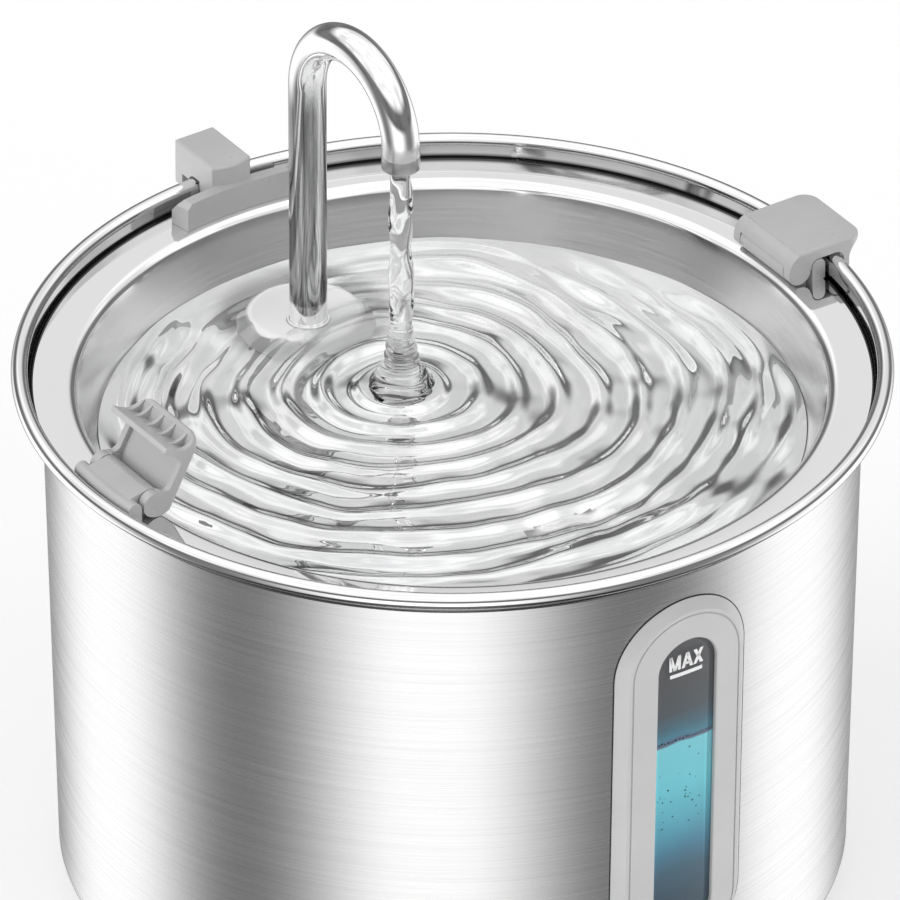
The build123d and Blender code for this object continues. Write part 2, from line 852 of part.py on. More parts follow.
def make_stator_core():
    half = core_inner + core_leg
    y_half = core_depth / 2
    yoke = block(-half, half, core_middle - y_half, core_middle + y_half, core_low, coil_low)
    for side in (-1, 1):
        yoke = yoke + core_leg_block(side, coil_low, rotor_z + core_rise)
    return at_pump(yoke)


def make_stator_coils():
    coils = []
    for side in (-1, 1):
        winding = core_leg_block(side, coil_low, coil_low + coil_height, coil_wrap)
        coils.append(at_pump(winding - core_leg_block(side, coil_low, coil_low + coil_height)))
    return coils


def make_rear_cap():
    cap = pump_slab(0, motor_back, motor_back + rear_cap)
    cap = cap + pump_slab(pump_wall + running, motor_back - rear_cap_lip, motor_back)
    hole_start = motor_back - rear_cap_lip * 2
    hole_end = motor_back + rear_cap * 2
    hole = rod(gland_neck_radius, hole_start, hole_end, gland_offset, gland_z())
    return at_pump(cap - hole)


def gland_z():
    return pump_top - gland_drop


def make_cord_gland():
    start = motor_back - rear_cap_lip
    outside = motor_back + rear_cap
    gland = rod(gland_neck_radius, start, outside, gland_offset, gland_z())
    gland = gland + rod(gland_radius, outside, outside + gland_length, gland_offset, gland_z())
    bore = rod(cord_radius, start - sheet, outside + gland_length + sheet, gland_offset, gland_z())
    return at_pump(gland - bore)


def make_pump_light():
    y = motor_front + light_setback
    neck = post(light_neck_radius, pump_top - pump_wall, pump_top, 0, y)
    dome = Pos(0, y, pump_top) * (Sphere(light_radius) & post(light_radius, 0, light_radius))
    return at_pump(neck + dome)


def make_suction_cups():
    cups = []
    for x in (-cup_spread_x, cup_spread_x):
        for y in (chamber_front + cup_inset_y, motor_back - cup_inset_y):
            cup = turned(
                (0, floor_top),
                (cup_radius, floor_top),
                (cup_radius, floor_top + cup_edge),
                (cup_neck_radius, pump_under - cup_edge),
                (cup_neck_radius, pump_under),
                (0, pump_under),
            )
            cups.append(at_pump(Pos(x, y, 0) * cup))
    return cups


# ---------------------------------------------------------------- snap latches
def make_latch_base(turn):
    half = latch_half_width
    bar = block(bar_inner, bar_outer, -half, half, flange_z, bar_top_z)
    bar = bar & post(bar_outer, flange_z, bar_top_z)
    top_edges = bar.edges().filter_by_position(Axis.Z, bar_top_z, bar_top_z)
    bar = fillet([edge for edge in top_edges if abs((edge % 0.5).Y) > 0.5], bar_round)
    saddle = outline(
        (web_inner, flange_z),
        (bar_inner + bar_round, flange_z),
        (bar_inner + bar_round, bar_top_z),
        (pivot_radius, pivot_z + knuckle_radius),
        (pivot_radius, pivot_z),
        (web_inner, pivot_z),
    )
    web = across_rim(saddle, knuckle_half_length)
    knuckle = across_rim(Pos(pivot_radius, pivot_z) * Circle(knuckle_radius), knuckle_half_length)
    base = bar + web + knuckle
    bore = across_rim(Pos(pivot_radius, pivot_z) * Circle(latch_pin_radius), latch_half_width)
    base = base - bore
    return Rot(0, 0, turn) * base - rivet_sockets(latch_rivet_places())


def lever_side_outline():
    """The lever's outline across the rim, closed, without its nose and barrel."""
    lip_z = lever_top_z - lip_dip
    under = bar_top_z + lever_gap
    inner = bar_inner - lever_gap
    grip_z = lip_z - lip_thickness
    arch_round = hook_inner - bead_centre + bar_top
    body = outline(
        (pivot_radius, lever_top_z),
        (lip_start, lever_top_z),
        (lever_end, lip_z),
        (lever_end, grip_z),
        (hook_outer, grip_z, lever_end - hook_outer - seat_gap),
        (hook_outer, rim_top - hook_drop, hook_round),
        (hook_inner, rim_top - hook_drop, hook_round),
        (hook_inner, under, arch_round),
        (inner, under, bar_round + lever_gap),
        (inner, pivot_z),
        (pivot_radius, pivot_z),
    )
    nose_x = pivot_radius + nose_offset
    nose = Pos(nose_x, lever_top_z - nose_radius) * Circle(nose_radius)
    nose_box = outline(
        (pivot_radius - nose_radius, pivot_z),
        (nose_x, pivot_z),
        (nose_x, lever_top_z),
        (pivot_radius - nose_radius, lever_top_z),
    )
    barrel = Pos(pivot_radius, pivot_z) * Circle(knuckle_radius)
    return body + (nose & nose_box) + barrel


def lever_plan():
    """The lever's outline from above as a bar with rounded corners and top edges."""
    near = pivot_radius - knuckle_radius * 2
    half = latch_half_width
    face = outline(
        (near, -half),
        (lever_end, -half, lever_corner),
        (lever_end, half, lever_corner),
        (near, half),
    )
    low = rim_top - hook_drop - hook_round
    plan = extrude(Pos(0, 0, low) * face, lever_top_z - low)
    return fillet(plan.edges().filter_by_position(Axis.Z, lever_top_z, lever_top_z), lever_edge_round)


def make_latch_lever(turn, opened):
    lever = across_rim(lever_side_outline(), latch_half_width) & lever_plan()
    clear_radius = knuckle_radius + lever_gap
    clear_half = knuckle_half_length + small_gap
    knuckle_room = across_rim(Pos(pivot_radius, pivot_z) * Circle(clear_radius), clear_half)
    inner_half = latch_half_width - lever_side_wall
    skin_z = lever_top_z - lever_skin
    core = block(bar_inner - lever_gap, hook_inner, -inner_half, inner_half, pivot_z, skin_z)
    nose_room = block(0, bar_inner, -clear_half, clear_half, 0, rim_top - web_drop + small_gap)
    saddle_z = pivot_z + knuckle_radius + small_gap
    saddle_room = block(pivot_radius, bar_inner, -clear_half, clear_half, 0, saddle_z)
    lever = lever - knuckle_room - core - nose_room - saddle_room
    pocket_half = latch_half_width - pocket_wall
    pocket_low = rim_top - hook_drop
    pocket_high = lever_top_z - lip_dip - lip_thickness + seat_gap
    pocket_end = lever_end - grip_wall
    pocket = block(hook_outer, pocket_end, -pocket_half, pocket_half, pocket_low, pocket_high)
    for index in range(gusset_count):
        t = (index - (gusset_count - 1) / 2) * gusset_pitch
        half = gusset_thickness / 2
        pocket = pocket - block(hook_outer, pocket_end, t - half, t + half, pocket_low, pocket_high)
    bore = Pos(pivot_radius, pivot_z) * Circle(latch_pin_radius + running)
    lever = lever - pocket - across_rim(bore, latch_half_width - pin_inset + running)
    swing = latch_opening if opened else 0
    hinge = Pos(pivot_radius, 0, pivot_z) * Rot(0, -swing, 0) * Pos(-pivot_radius, 0, -pivot_z)
    return Rot(0, 0, turn) * hinge * lever


def make_latch_pin(turn):
    half = latch_half_width - pin_inset
    return Rot(0, 0, turn) * across_rim(Pos(pivot_radius, pivot_z) * Circle(latch_pin_radius), half)


# ---------------------------------------------------------------- cord bridge
def bridge_strip():
    """The curved strip that sits on the flange, with its bevelled ends."""
    top = rim_top + strip_top
    face = outline(
        (strip_inner, flange_z),
        (strip_outer, flange_z),
        (strip_outer, rim_top - strip_toe_drop),
        (strip_crest, top),
        (strip_inner, top),
    )
    strip = Rot(0, 0, -strip_half_angle) * revolve(Plane.XZ * face, Axis.Z, strip_half_angle * 2)
    ends = [
        edge
        for edge in strip.edges().filter_by_position(Axis.Z, top, top)
        if edge.geom_type == GeomType.LINE
    ]
    return chamfer(ends, strip_end_bevel)


def cord_way(*places):
    """The cord's way through the bridge, along straight runs between (r, z) places."""
    points = [Vector(radius, 0, z) for radius, z in places]
    way = Part()
    for start, end in zip(points, points[1:]):
        run = end - start
        way = way + Plane(start, z_dir=run) * Cylinder(cord_radius, run.length, align=STANDING)
        way = way + Pos(end) * Sphere(cord_radius)
    return way


def make_cord_bridge():
    plan = make_face(
        [
            Line((bridge_inner, bridge_half_width), (bridge_outer, bridge_half_width)),
            Line((bridge_outer, bridge_half_width), (bridge_outer, -bridge_half_width)),
            Line((bridge_outer, -bridge_half_width), (bridge_inner, -bridge_half_width)),
            ThreePointArc(
                (bridge_inner, -bridge_half_width),
                (bridge_inner - bridge_bulge, 0),
                (bridge_inner, bridge_half_width),
            ),
        ]
    )
    top = rim_top + bridge_top
    head = extrude(Pos(0, 0, flange_z) * plan, top - flange_z)
    upper = head.edges().filter_by_position(Axis.Z, flange_z + sheet, top)
    head = fillet(upper, bridge_round)
    over_bead = outline(
        (recess_radius - small_gap, 0),
        (rim_radius + bridge_gap, 0),
        (rim_radius + bridge_gap, rim_top + bridge_gap, bead_radius + bridge_gap),
        (recess_radius - small_gap, rim_top + bridge_gap),
    )
    leg_inner = bridge_outer - bridge_leg
    head = head - across_rim(over_bead, bridge_outer)
    eave = rim_top - bridge_eave_drop
    head = head - block(recess_radius, leg_inner, -bridge_outer, bridge_outer, 0, eave)
    leg_end = rim_top - bridge_leg_drop
    head = head - block(leg_inner, bridge_outer * 2, -bridge_outer, bridge_outer, 0, leg_end)
    bridge = head + bridge_strip()
    way_z = rim_top + tunnel_height
    spigot_low = flange_under - cord_spigot_drop
    bridge = bridge + post(cord_radius + cord_spigot_wall, spigot_low, flange_z, cord_path_radius)
    bridge = bridge - cord_way(
        (cord_path_radius, spigot_low - sheet),
        (cord_path_radius, rim_top + tunnel_turn),
        (recess_radius - tunnel_level, way_z),
        (bridge_outer + sheet, way_z),
    )
    return Rot(0, 0, 90) * bridge - rivet_sockets(bridge_rivet_places())


# ---------------------------------------------------------------- all pieces
pieces = {
    "bucket": make_bucket(),
    "foot_ring": make_foot_ring(),
    "window_bezel": make_window_bezel(),
    "window_lens": make_window_lens(),
    "window_gasket": make_window_gasket(),
    "window_retainer": make_window_retainer(),
    "window_screws": make_window_screws(),
    "pump_body": make_pump_body(),
    "pump_rear_cap": make_rear_cap(),
    "impeller_cover": make_impeller_cover(),
    "pump_oring": make_pump_oring(),
    "intake_grille": make_intake_grille(),
    "prefilter_foam": make_prefilter_foam(),
    "flow_dial": make_flow_dial(),
    "impeller": make_impeller(),
    "rotor_magnet": make_rotor_magnet(),
    "impeller_shaft": make_impeller_shaft(),
    "shaft_bushes": make_shaft_bushes(),
    "stator_core": make_stator_core(),
    "stator_coils": make_stator_coils(),
    "cord_gland": make_cord_gland(),
    "pump_light": make_pump_light(),
    "suction_cups": make_suction_cups(),
    "riser_seal": make_riser_seal(),
    "riser_pipe": make_riser_pipe(),
    "tray": make_tray(),
    "faucet_base": make_faucet_base(),
    "base_seal": make_base_seal(),
    "base_nut": make_base_nut(),
    "filter_holder": make_filter_holder(),
    "filter_cartridge": make_filter_cartridge(),
    "faucet_collar": make_faucet_collar(),
    "faucet_seal": make_faucet_seal(),
    "faucet_tube": make_faucet_tube(),
    "faucet_outlet": make_faucet_outlet(),
    "latch_rivets": make_rivets(latch_rivet_places()),
    "cord_bridge": make_cord_bridge(),
    "bridge_rivets": make_rivets(bridge_rivet_places()),
}
for side, turn, opened in (("right", 0, False), ("left", 180, True)):
    pieces[f"{side}_latch_base"] = make_latch_base(turn)
    pieces[f"{side}_latch_pin"] = make_latch_pin(turn)
    pieces[f"{side}_latch_lever"] = make_latch_lever(turn, opened)

os.makedirs("parts", exist_ok=True)
for name, piece in pieces.items():
    solids = piece if isinstance(piece, list) else [piece]
    shape = solids[0] if len(solids) == 1 else Compound(children=solids)
    export_step(shape, f"parts/{name}.step")
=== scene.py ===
import json
import math
import random

import bpy
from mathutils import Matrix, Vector, noise


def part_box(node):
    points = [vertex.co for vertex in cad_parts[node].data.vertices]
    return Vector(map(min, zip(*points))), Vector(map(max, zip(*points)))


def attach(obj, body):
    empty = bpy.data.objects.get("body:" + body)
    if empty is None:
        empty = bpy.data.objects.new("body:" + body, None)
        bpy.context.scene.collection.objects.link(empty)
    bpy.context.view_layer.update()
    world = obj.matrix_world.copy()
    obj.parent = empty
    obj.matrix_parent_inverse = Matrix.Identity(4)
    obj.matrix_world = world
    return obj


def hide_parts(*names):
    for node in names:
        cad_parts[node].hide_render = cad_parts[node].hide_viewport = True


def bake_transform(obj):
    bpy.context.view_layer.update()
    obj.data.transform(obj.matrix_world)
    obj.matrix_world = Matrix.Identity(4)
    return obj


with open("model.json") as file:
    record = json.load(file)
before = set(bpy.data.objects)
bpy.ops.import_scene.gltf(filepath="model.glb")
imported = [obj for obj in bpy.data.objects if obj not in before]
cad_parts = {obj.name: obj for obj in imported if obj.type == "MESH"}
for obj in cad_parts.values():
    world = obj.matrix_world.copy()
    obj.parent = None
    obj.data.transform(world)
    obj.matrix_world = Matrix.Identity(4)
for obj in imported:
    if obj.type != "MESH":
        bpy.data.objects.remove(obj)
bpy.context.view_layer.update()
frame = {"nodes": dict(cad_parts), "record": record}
random.seed(7)
mm = 0.001
hair = 0.01 * mm                     # closer points than this are the same

# ---------------------------------------------------------------- sizes and places
bucket_low, bucket_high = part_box("bucket")
tray_low, tray_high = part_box("tray")
lens_low, lens_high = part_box("window_lens")
outlet_low, outlet_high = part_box("faucet_outlet")
dome_low, dome_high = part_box("faucet_base")
tube_low, tube_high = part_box("faucet_tube")
collar_low, collar_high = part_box("faucet_collar")

sheet = 0.8 * mm                     # thickness of the steel
rim_top = bucket_high.z
rim_radius = bucket_high.x
bead = 2.2 * mm                      # radius of the rolled rim
recess_radius = rim_radius - 2 * bead
body_radius = recess_radius - 3.5 * mm
body_lean = math.tan(math.radians(1.4))
floor_under = bucket_low.z
flange_z = tray_high.z
flange_radius = tray_high.x
mouth_radius = flange_radius - 10.8 * mm
basin_z = tray_low.z + sheet         # inside the basin
basin_lean = math.tan(math.radians(23))
ledge_z = flange_z - sheet - 0.1 * mm
cord_hole_y = recess_radius - 6.9 * mm

water_z = rim_top - 20.0 * mm        # level in the tray
store_z = 91.0 * mm                  # level in the bucket

lens_end = 12.1 * mm                 # radius of the lens's round ends
lens_proud = 1.5 * mm                # how far the lens stands out of the body
window_high = lens_high.z - lens_end
window_low = lens_low.z + lens_end
window_hole = 14.5 * mm              # end radius of the hole in the steel
opening_radius = 9.1 * mm            # end radius of the frame's opening
bezel_radius = 20.2 * mm             # end radius of the frame

foot = (collar_low + collar_high) / 2
foot_top = collar_high.z
outlet = (outlet_low + outlet_high) / 2
spout_way = (outlet - foot).xy.normalized()
tube_radius = 5.0 * mm
arch_radius = (outlet - foot).xy.length / 2
arch_z = tube_high.z - arch_radius - tube_radius
spout_end = arch_z - 1.5 * mm
impact = Vector((outlet.x, outlet.y, water_z))
dome_centre = (dome_low + dome_high) / 2

body_of = {node: body for body, nodes in frame["record"]["behaviour"]["bodies"].items() for node in nodes}


def body_outer(z):
    """Outside radius of the bucket's body at a height."""
    return body_radius - (ledge_z - z) * body_lean


def basin_wall(z):
    """Inside radius of the basin's straight wall at a height."""
    return mouth_radius - (flange_z - z) * basin_lean


# ---------------------------------------------------------------- mesh tools
def pick(*pieces):
    """Selects these pieces only; the first one is active."""
    bpy.ops.object.select_all(action="DESELECT")
    for piece in pieces:
        piece.select_set(True)
    if pieces:
        bpy.context.view_layer.objects.active = pieces[0]


def named(name):
    """The active piece, under a name of its own."""
    piece = bpy.context.object
    piece.name = name
    piece.data.name = name
    return piece


def add_modifier(piece, kind, **settings):
    """Adds a modifier and applies it."""
    modifier = piece.modifiers.new(kind.lower(), kind)
    for key, value in settings.items():
        setattr(modifier, key, value)
    pick(piece)
    bpy.ops.object.modifier_apply(modifier=modifier.name)


def merge(piece):
    """Joins doubled points and turns the faces outwards."""
    pick(piece)
    bpy.ops.object.mode_set(mode="EDIT")
    bpy.ops.mesh.select_all(action="SELECT")
    bpy.ops.mesh.remove_doubles(threshold=0.001 * mm)
    bpy.ops.mesh.normals_make_consistent(inside=False)
    bpy.ops.object.mode_set(mode="OBJECT")


def smooth(piece, angle):
    """Shades smooth over edges that bend less than an angle in degrees."""
    pick(piece)
    bpy.ops.object.shade_smooth_by_angle(angle=math.radians(angle))


arc_step = math.radians(9)           # about the turn between two points of a rounding


def rounded(*corners):
    """Points of an outline from corners (radius, z) or (radius, z, rounding)."""
    points = []
    for index, corner in enumerate(corners):
        here = Vector(corner[:2])
        if len(corner) == 2:
            points.append(here)
            continue
        radius = corner[2]
        before = (Vector(corners[index - 1][:2]) - here).normalized()
        after = (Vector(corners[index + 1][:2]) - here).normalized()
        half = before.angle(after) / 2
        centre = here + (before + after).normalized() * radius / math.sin(half)
        start = here + before * radius / math.tan(half) - centre
        end = here + after * radius / math.tan(half) - centre
        first = math.atan2(start.y, start.x)
        swing = math.remainder(math.atan2(end.y, end.x) - first, math.tau)
        steps = max(3, round(abs(swing) / arc_step))
        for step in range(steps + 1):
            angle = first + swing * step / steps
            points.append(centre + Vector((math.cos(angle), math.sin(angle))) * radius)
    return points


def lathe(name, profile, steps, centre=(0, 0)):
    """A shape of revolution about Z; its (radius, z) points start and end on the axis or close."""
    pick()
    bpy.ops.mesh.primitive_plane_add(size=mm, location=(0, 0, 0))
    bpy.ops.object.mode_set(mode="EDIT")
    bpy.ops.mesh.select_all(action="SELECT")
    bpy.ops.mesh.merge(type="CENTER")
    x, y = centre
    radius, z = profile[0]
    bpy.ops.transform.translate(value=(x + radius, y, z))
    for next_radius, next_z in profile[1:]:
        step = (next_radius - radius, 0, next_z - z)
        bpy.ops.mesh.extrude_region_move(TRANSFORM_OT_translate={"value": step})
        radius, z = next_radius, next_z
    bpy.ops.mesh.select_all(action="SELECT")
    bpy.ops.mesh.spin(steps=steps, angle=math.tau, center=(x, y, 0), axis=(0, 0, 1))
    bpy.ops.mesh.select_all(action="SELECT")
    bpy.ops.mesh.remove_doubles(threshold=0.0005 * mm)
    bpy.ops.mesh.normals_make_consistent(inside=False)
    bpy.ops.object.mode_set(mode="OBJECT")
    return named(name)


def cut(piece, tool, operation="DIFFERENCE"):
    """Cuts a piece with a tool, or keeps what they share, and deletes the tool."""
    add_modifier(piece, "BOOLEAN", object=tool, operation=operation, solver="EXACT")
    bpy.data.objects.remove(tool)


def drill(piece, x, y, z, radius, sides):
    """Makes an upright hole through a sheet."""
    pick()
    bpy.ops.mesh.primitive_cylinder_add(vertices=sides, radius=radius, depth=4 * mm, location=(x, y, z))
    cut(piece, named("drill"))


def window_bar(radius):
    """A bar of the level window's outline through the bucket's front wall."""
    pick()
    bpy.ops.mesh.primitive_cylinder_add(
        vertices=96,
        radius=radius,
        depth=40 * mm,
        location=(0, -body_radius, window_high),
        rotation=(math.pi / 2, 0, 0),
    )
    bar = named("window_bar")
    bpy.ops.object.transform_apply(location=True, rotation=True, scale=True)
    for vertex in bar.data.vertices:
        if vertex.co.z < window_high - hair:
            vertex.co.z -= window_high - window_low
    return bar


def body_layer(name, inner, outer, radius):
    """A layer that follows the body's outside, within the window's outline of some radius."""
    spare = 2 * mm
    low = window_low - radius - spare
    high = window_high + radius + spare
    profile = [
        (body_outer(low) + inner, low),
        (body_outer(low) + outer, low),
        (body_outer(high) + outer, high),
        (body_outer(high) + inner, high),
        (body_outer(low) + inner, low),
    ]
    layer = lathe(name, profile, 256)
    cut(layer, window_bar(radius), "INTERSECT")
    merge(layer)
    return layer


def stands_for(piece, node):
    """Puts a piece in the place of a CAD node, on its body."""
    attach(piece, body_of[node])
    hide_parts(node)


def belongs(piece, body):
    """Puts a piece that has no CAD node on a body."""
    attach(piece, body)


# ---------------------------------------------------------------- material tools
class Graph:
    """A node tree, with short calls for the nodes that the looks are made of."""

    def __init__(self, tree, place):
        self.tree = tree
        self.coords = self.node("ShaderNodeTexCoord").outputs[place]

    def link(self, value, socket):
        """Joins a node's output to a socket, or sets the socket to a constant."""
        if hasattr(value, "is_output"):
            self.tree.links.new(value, socket)
        else:
            socket.default_value = value

    def node(self, kind, inputs=(), **settings):
        made = self.tree.nodes.new(kind)
        for key, value in settings.items():
            setattr(made, key, value)
        for key, value in dict(inputs).items():
            self.link(value, made.inputs[key])
        return made

    def math(self, operation, first, second=0.0):
        return self.node("ShaderNodeMath", {0: first, 1: second}, operation=operation).outputs[0]

    def vector(self, operation, first, second, output=0):
        return self.node("ShaderNodeVectorMath", {0: first, 1: second}, operation=operation).outputs[output]

    def flat(self, vector):
        """The level part of a vector."""
        return self.vector("MULTIPLY", vector, (1, 1, 0))

    def flat_length(self, vector):
        """Length of a vector's level part, such as a point's distance from the upright axis."""
        return self.vector("LENGTH", self.flat(vector), (0, 0, 0), "Value")

    def span(self, value, from_low, from_high, to_low=0.0, to_high=1.0, smoothed=True):
        """Maps a value from one range to another, and holds it at the ends."""
        inputs = {"Value": value, "From Min": from_low, "From Max": from_high}
        inputs |= {"To Min": to_low, "To Max": to_high}
        kind = "SMOOTHSTEP" if smoothed else "LINEAR"
        return self.node("ShaderNodeMapRange", inputs, interpolation_type=kind).outputs[0]

    def between(self, share, first, second):
        """A plain mix of two values: the first at share 0, the second at share 1."""
        return self.span(share, 0, 1, first, second, smoothed=False)

    def noise(self, scale, detail=3.0, vector=None, roughness=0.5):
        inputs = {"Scale": scale, "Detail": detail, "Roughness": roughness}
        inputs["Vector"] = self.coords if vector is None else vector
        return self.node("ShaderNodeTexNoise", inputs).outputs[0]

    def grain(self, scale, detail, roughness):
        """Noise with a scale of its own along each axis."""
        stretched = self.node("ShaderNodeMapping", {"Vector": self.coords, "Scale": scale}).outputs[0]
        return self.noise(1.0, detail, stretched, roughness)

    def ramp(self, value, stops):
        """Colours at positions along a value; a stop is (position, grey or colour)."""
        ramp = self.node("ShaderNodeValToRGB", {"Fac": value})
        band = ramp.color_ramp
        while len(band.elements) < len(stops):
            band.elements.new(0.5)
        for element, (position, colour) in zip(band.elements, stops):
            element.position = position
            colour = (colour,) * 3 if isinstance(colour, (int, float)) else colour
            element.color = (*colour, 1)
        return ramp.outputs["Color"]

    def blend(self, factor, first, second, kind="MIX"):
        """Blends two colours."""
        inputs = {0: factor, 6: first, 7: second}
        return self.node("ShaderNodeMix", inputs, data_type="RGBA", blend_type=kind).outputs[2]

    def light_path(self):
        """Whether a ray comes from the camera, and whether it is a mirrored or a refracted one."""
        path = self.node("ShaderNodeLightPath").outputs
        bounced = self.math("MAXIMUM", path["Is Glossy Ray"], path["Is Transmission Ray"])
        return path["Is Camera Ray"], bounced


class Finish(Graph):
    """A material that reads object coordinates."""

    def __init__(self, name):
        self.material = bpy.data.materials.new(name)
        self.material.use_nodes = True
        super().__init__(self.material.node_tree, "Object")
        self.shader = self.tree.nodes["Principled BSDF"]

    def set(self, **sockets):
        """Sets the shader's inputs; an underscore stands for a space."""
        for key, value in sockets.items():
            self.link(value, self.shader.inputs[key.replace("_", " ")])

    def bump(self, height, strength, depth):
        """Raises the surface a little where a value is high."""
        inputs = {"Height": height, "Strength": strength, "Distance": depth}
        self.set(Normal=self.node("ShaderNodeBump", inputs).outputs[0])

    def along(self, axis):
        """A point's coordinate on an axis."""
        return self.node("ShaderNodeSeparateXYZ", {"Vector": self.coords}).outputs[axis]


def grey(value):
    """A grey as a colour with its alpha."""
    return (value, value, value, 1)


def dress(material, *names):
    """Gives CAD nodes a finish in place of their plain one."""
    for name in names:
        piece = frame["nodes"][name]
        for slot in piece.material_slots:
            slot.material = material
        if not piece.material_slots:
            piece.data.materials.append(material)


# ---------------------------------------------------------------- finishes
def brushed_steel():
    """Satin body with level brushing; shoulder and rim are polished, and the recess has painted shade,
    nearly black at its foot.
    """
    finish = Finish("brushed_steel_body")
    height = finish.along("Z")
    polished = finish.span(height, ledge_z - 2.4 * mm, ledge_z - 1.2 * mm)
    fine = finish.math("MULTIPLY", finish.grain((20, 20, 3000), detail=3, roughness=0.7), 0.6)
    coarse = finish.math("MULTIPLY", finish.grain((9, 9, 1100), detail=2, roughness=0.6), 0.4)
    brushing = finish.math("ADD", fine, coarse)
    satin = finish.ramp(brushing, [(0.36, 0.80), (0.60, 0.94)])
    satin_rough = finish.span(brushing, 0.36, 0.62, 0.23, 0.28, smoothed=False)
    radius = finish.flat_length(finish.coords)
    on_rim = finish.span(radius, recess_radius + 0.2 * mm, recess_radius + 0.7 * mm)
    # painted shade: inside the rim's radius the polished steel is darker, and nearly black down by the
    # flange at the recess's foot
    depth = finish.span(height, flange_z + 0.5 * mm, flange_z + 1.9 * mm)
    recess = finish.ramp(depth, [(0.0, 0.07), (1.0, 0.62)])
    finish.set(
        Base_Color=finish.blend(polished, satin, finish.blend(on_rim, recess, grey(0.92))),
        Roughness=finish.between(polished, satin_rough, 0.06),
        Metallic=1.0,
        Anisotropic=0.7,
        Anisotropic_Rotation=0.25,
        Tangent=finish.node("ShaderNodeTangent", direction_type="RADIAL", axis="Z").outputs[0],
    )
    lines = finish.math("MULTIPLY", brushing, finish.span(polished, 0, 1, 1, 0))
    finish.bump(lines, strength=0.12, depth=0.01 * mm)
    return finish.material


def polished_steel(name, roughness, tone):
    """Mirror steel with faint wipe marks and a trace of waviness."""
    finish = Finish(name)
    marks = finish.noise(90, 4, roughness=0.6)
    finish.set(
        Base_Color=finish.ramp(marks, [(0.3, tone - 0.04), (0.7, tone)]),
        Roughness=finish.span(marks, 0.3, 0.7, roughness * 0.7, roughness * 1.4, smoothed=False),
        Metallic=1.0,
    )
    finish.bump(finish.noise(35, 2), strength=0.05, depth=0.04 * mm)
    return finish.material


def drawn_chrome():
    """The gooseneck: mirror arch, a duller spout, and drawing marks that run up its upright leg, with
    painted dark reflection stripes in the leg's colour.
    """
    mirror = 0.03
    finish = Finish("drawn_chrome")
    marks = finish.grain((420, 420, 9), detail=3, roughness=0.6)
    height = finish.along("Z")
    back = finish.along("Y")
    # the upright leg, where painted reflection darkens the colour; its lowest part is left plain so the
    # dome's real reflection shows
    leg = finish.span(height, arch_z - 8 * mm, arch_z + 6 * mm, 1, 0)
    leg = finish.math("MULTIPLY", leg, finish.span(back, foot.y - 9 * mm, foot.y - 7 * mm))
    leg = finish.math("MULTIPLY", leg, finish.span(height, foot_top + 5.2 * mm, foot_top + 6.4 * mm))
    # drawing marks in the colour, with painted dark reflection stripes
    marks_and_painted_reflections = finish.ramp(marks, [(0.36, 0.16), (0.50, 0.36), (0.66, 0.80)])
    spout_rough = finish.span(height, spout_end + 3 * mm, spout_end + 9 * mm, 0.20, mirror)
    arch_rough = finish.span(back, foot.y - 20 * mm, foot.y - 12 * mm, spout_rough, mirror)
    finish.set(
        Base_Color=finish.blend(leg, grey(0.93), marks_and_painted_reflections),
        Roughness=finish.between(leg, arch_rough, 0.10),
        Metallic=1.0,
    )
    finish.bump(marks, strength=0.08, depth=0.02 * mm)
    return finish.material


def basin_steel():
    """Mirror flange; the basin's wall has fine brushing that runs round it."""
    finish = Finish("basin_steel")
    inside = finish.span(finish.along("Z"), flange_z - 5 * mm, flange_z - 0.6 * mm, 1, 0)
    fine = finish.grain((30, 30, 2200), detail=3, roughness=0.65)
    marks = finish.noise(60, 4, roughness=0.6)
    wall_tone = finish.ramp(fine, [(0.3, 0.81), (0.7, 0.86)])
    wall_rough = finish.span(fine, 0.3, 0.7, 0.19, 0.24, smoothed=False)
    flange_rough = finish.span(marks, 0.3, 0.7, 0.02, 0.05, smoothed=False)
    finish.set(
        Base_Color=finish.blend(inside, grey(0.93), wall_tone),
        Roughness=finish.between(inside, flange_rough, wall_rough),
        Metallic=finish.between(inside, 1.0, 0.78),
    )
    finish.bump(finish.math("MULTIPLY", fine, inside), strength=0.025, depth=0.01 * mm)
    return finish.material


def moulded(name, low, high, roughness, grain=900, coat=0.0):
    """Moulded plastic: a fine grain, a slight mottle and a soft sheen."""
    finish = Finish(name)
    sheen = finish.noise(240, 3)
    finish.set(
        Base_Color=finish.ramp(finish.noise(55, 4), [(0.3, low), (0.7, high)]),
        Roughness=finish.span(sheen, 0.3, 0.7, roughness - 0.05, roughness + 0.07, smoothed=False),
        Coat_Weight=coat,
        Coat_Roughness=0.18,
    )
    finish.bump(finish.noise(grain, 2), strength=0.1, depth=0.02 * mm)
    return finish.material


def soft(name, low, high, roughness=0.75):
    """Rubber or silicone with a dull bloom."""
    finish = Finish(name)
    bloom = finish.noise(60, 2)
    finish.set(
        Base_Color=finish.ramp(finish.noise(140, 4), [(0.3, low), (0.75, high)]),
        Roughness=finish.span(bloom, 0.3, 0.7, roughness - 0.1, roughness + 0.1, smoothed=False),
    )
    finish.bump(finish.noise(1500, 2), strength=0.2, depth=0.03 * mm)
    return finish.material


def foam(name, low, high, cells):
    """Open foam or fleece."""
    finish = Finish(name)
    cell = finish.node("ShaderNodeTexVoronoi", {"Vector": finish.coords, "Scale": cells})
    depth = cell.outputs["Distance"]
    finish.set(Base_Color=finish.ramp(depth, [(0.1, high), (0.6, low)]), Roughness=0.95)
    finish.bump(depth, strength=0.8, depth=0.4 * mm)
    return finish.material


def banded(name, low, high, axis, pitch, roughness):
    """Wound wire or stacked sheets: bands across an axis."""
    finish = Finish(name)
    wave = finish.node("ShaderNodeTexWave", {"Vector": finish.coords, "Scale": pitch}, bands_direction=axis)
    bands = wave.outputs["Fac"]
    finish.set(Base_Color=finish.ramp(bands, [(0.1, low), (0.8, high)]), Metallic=1.0, Roughness=roughness)
    finish.bump(bands, strength=0.5, depth=0.1 * mm)
    return finish.material


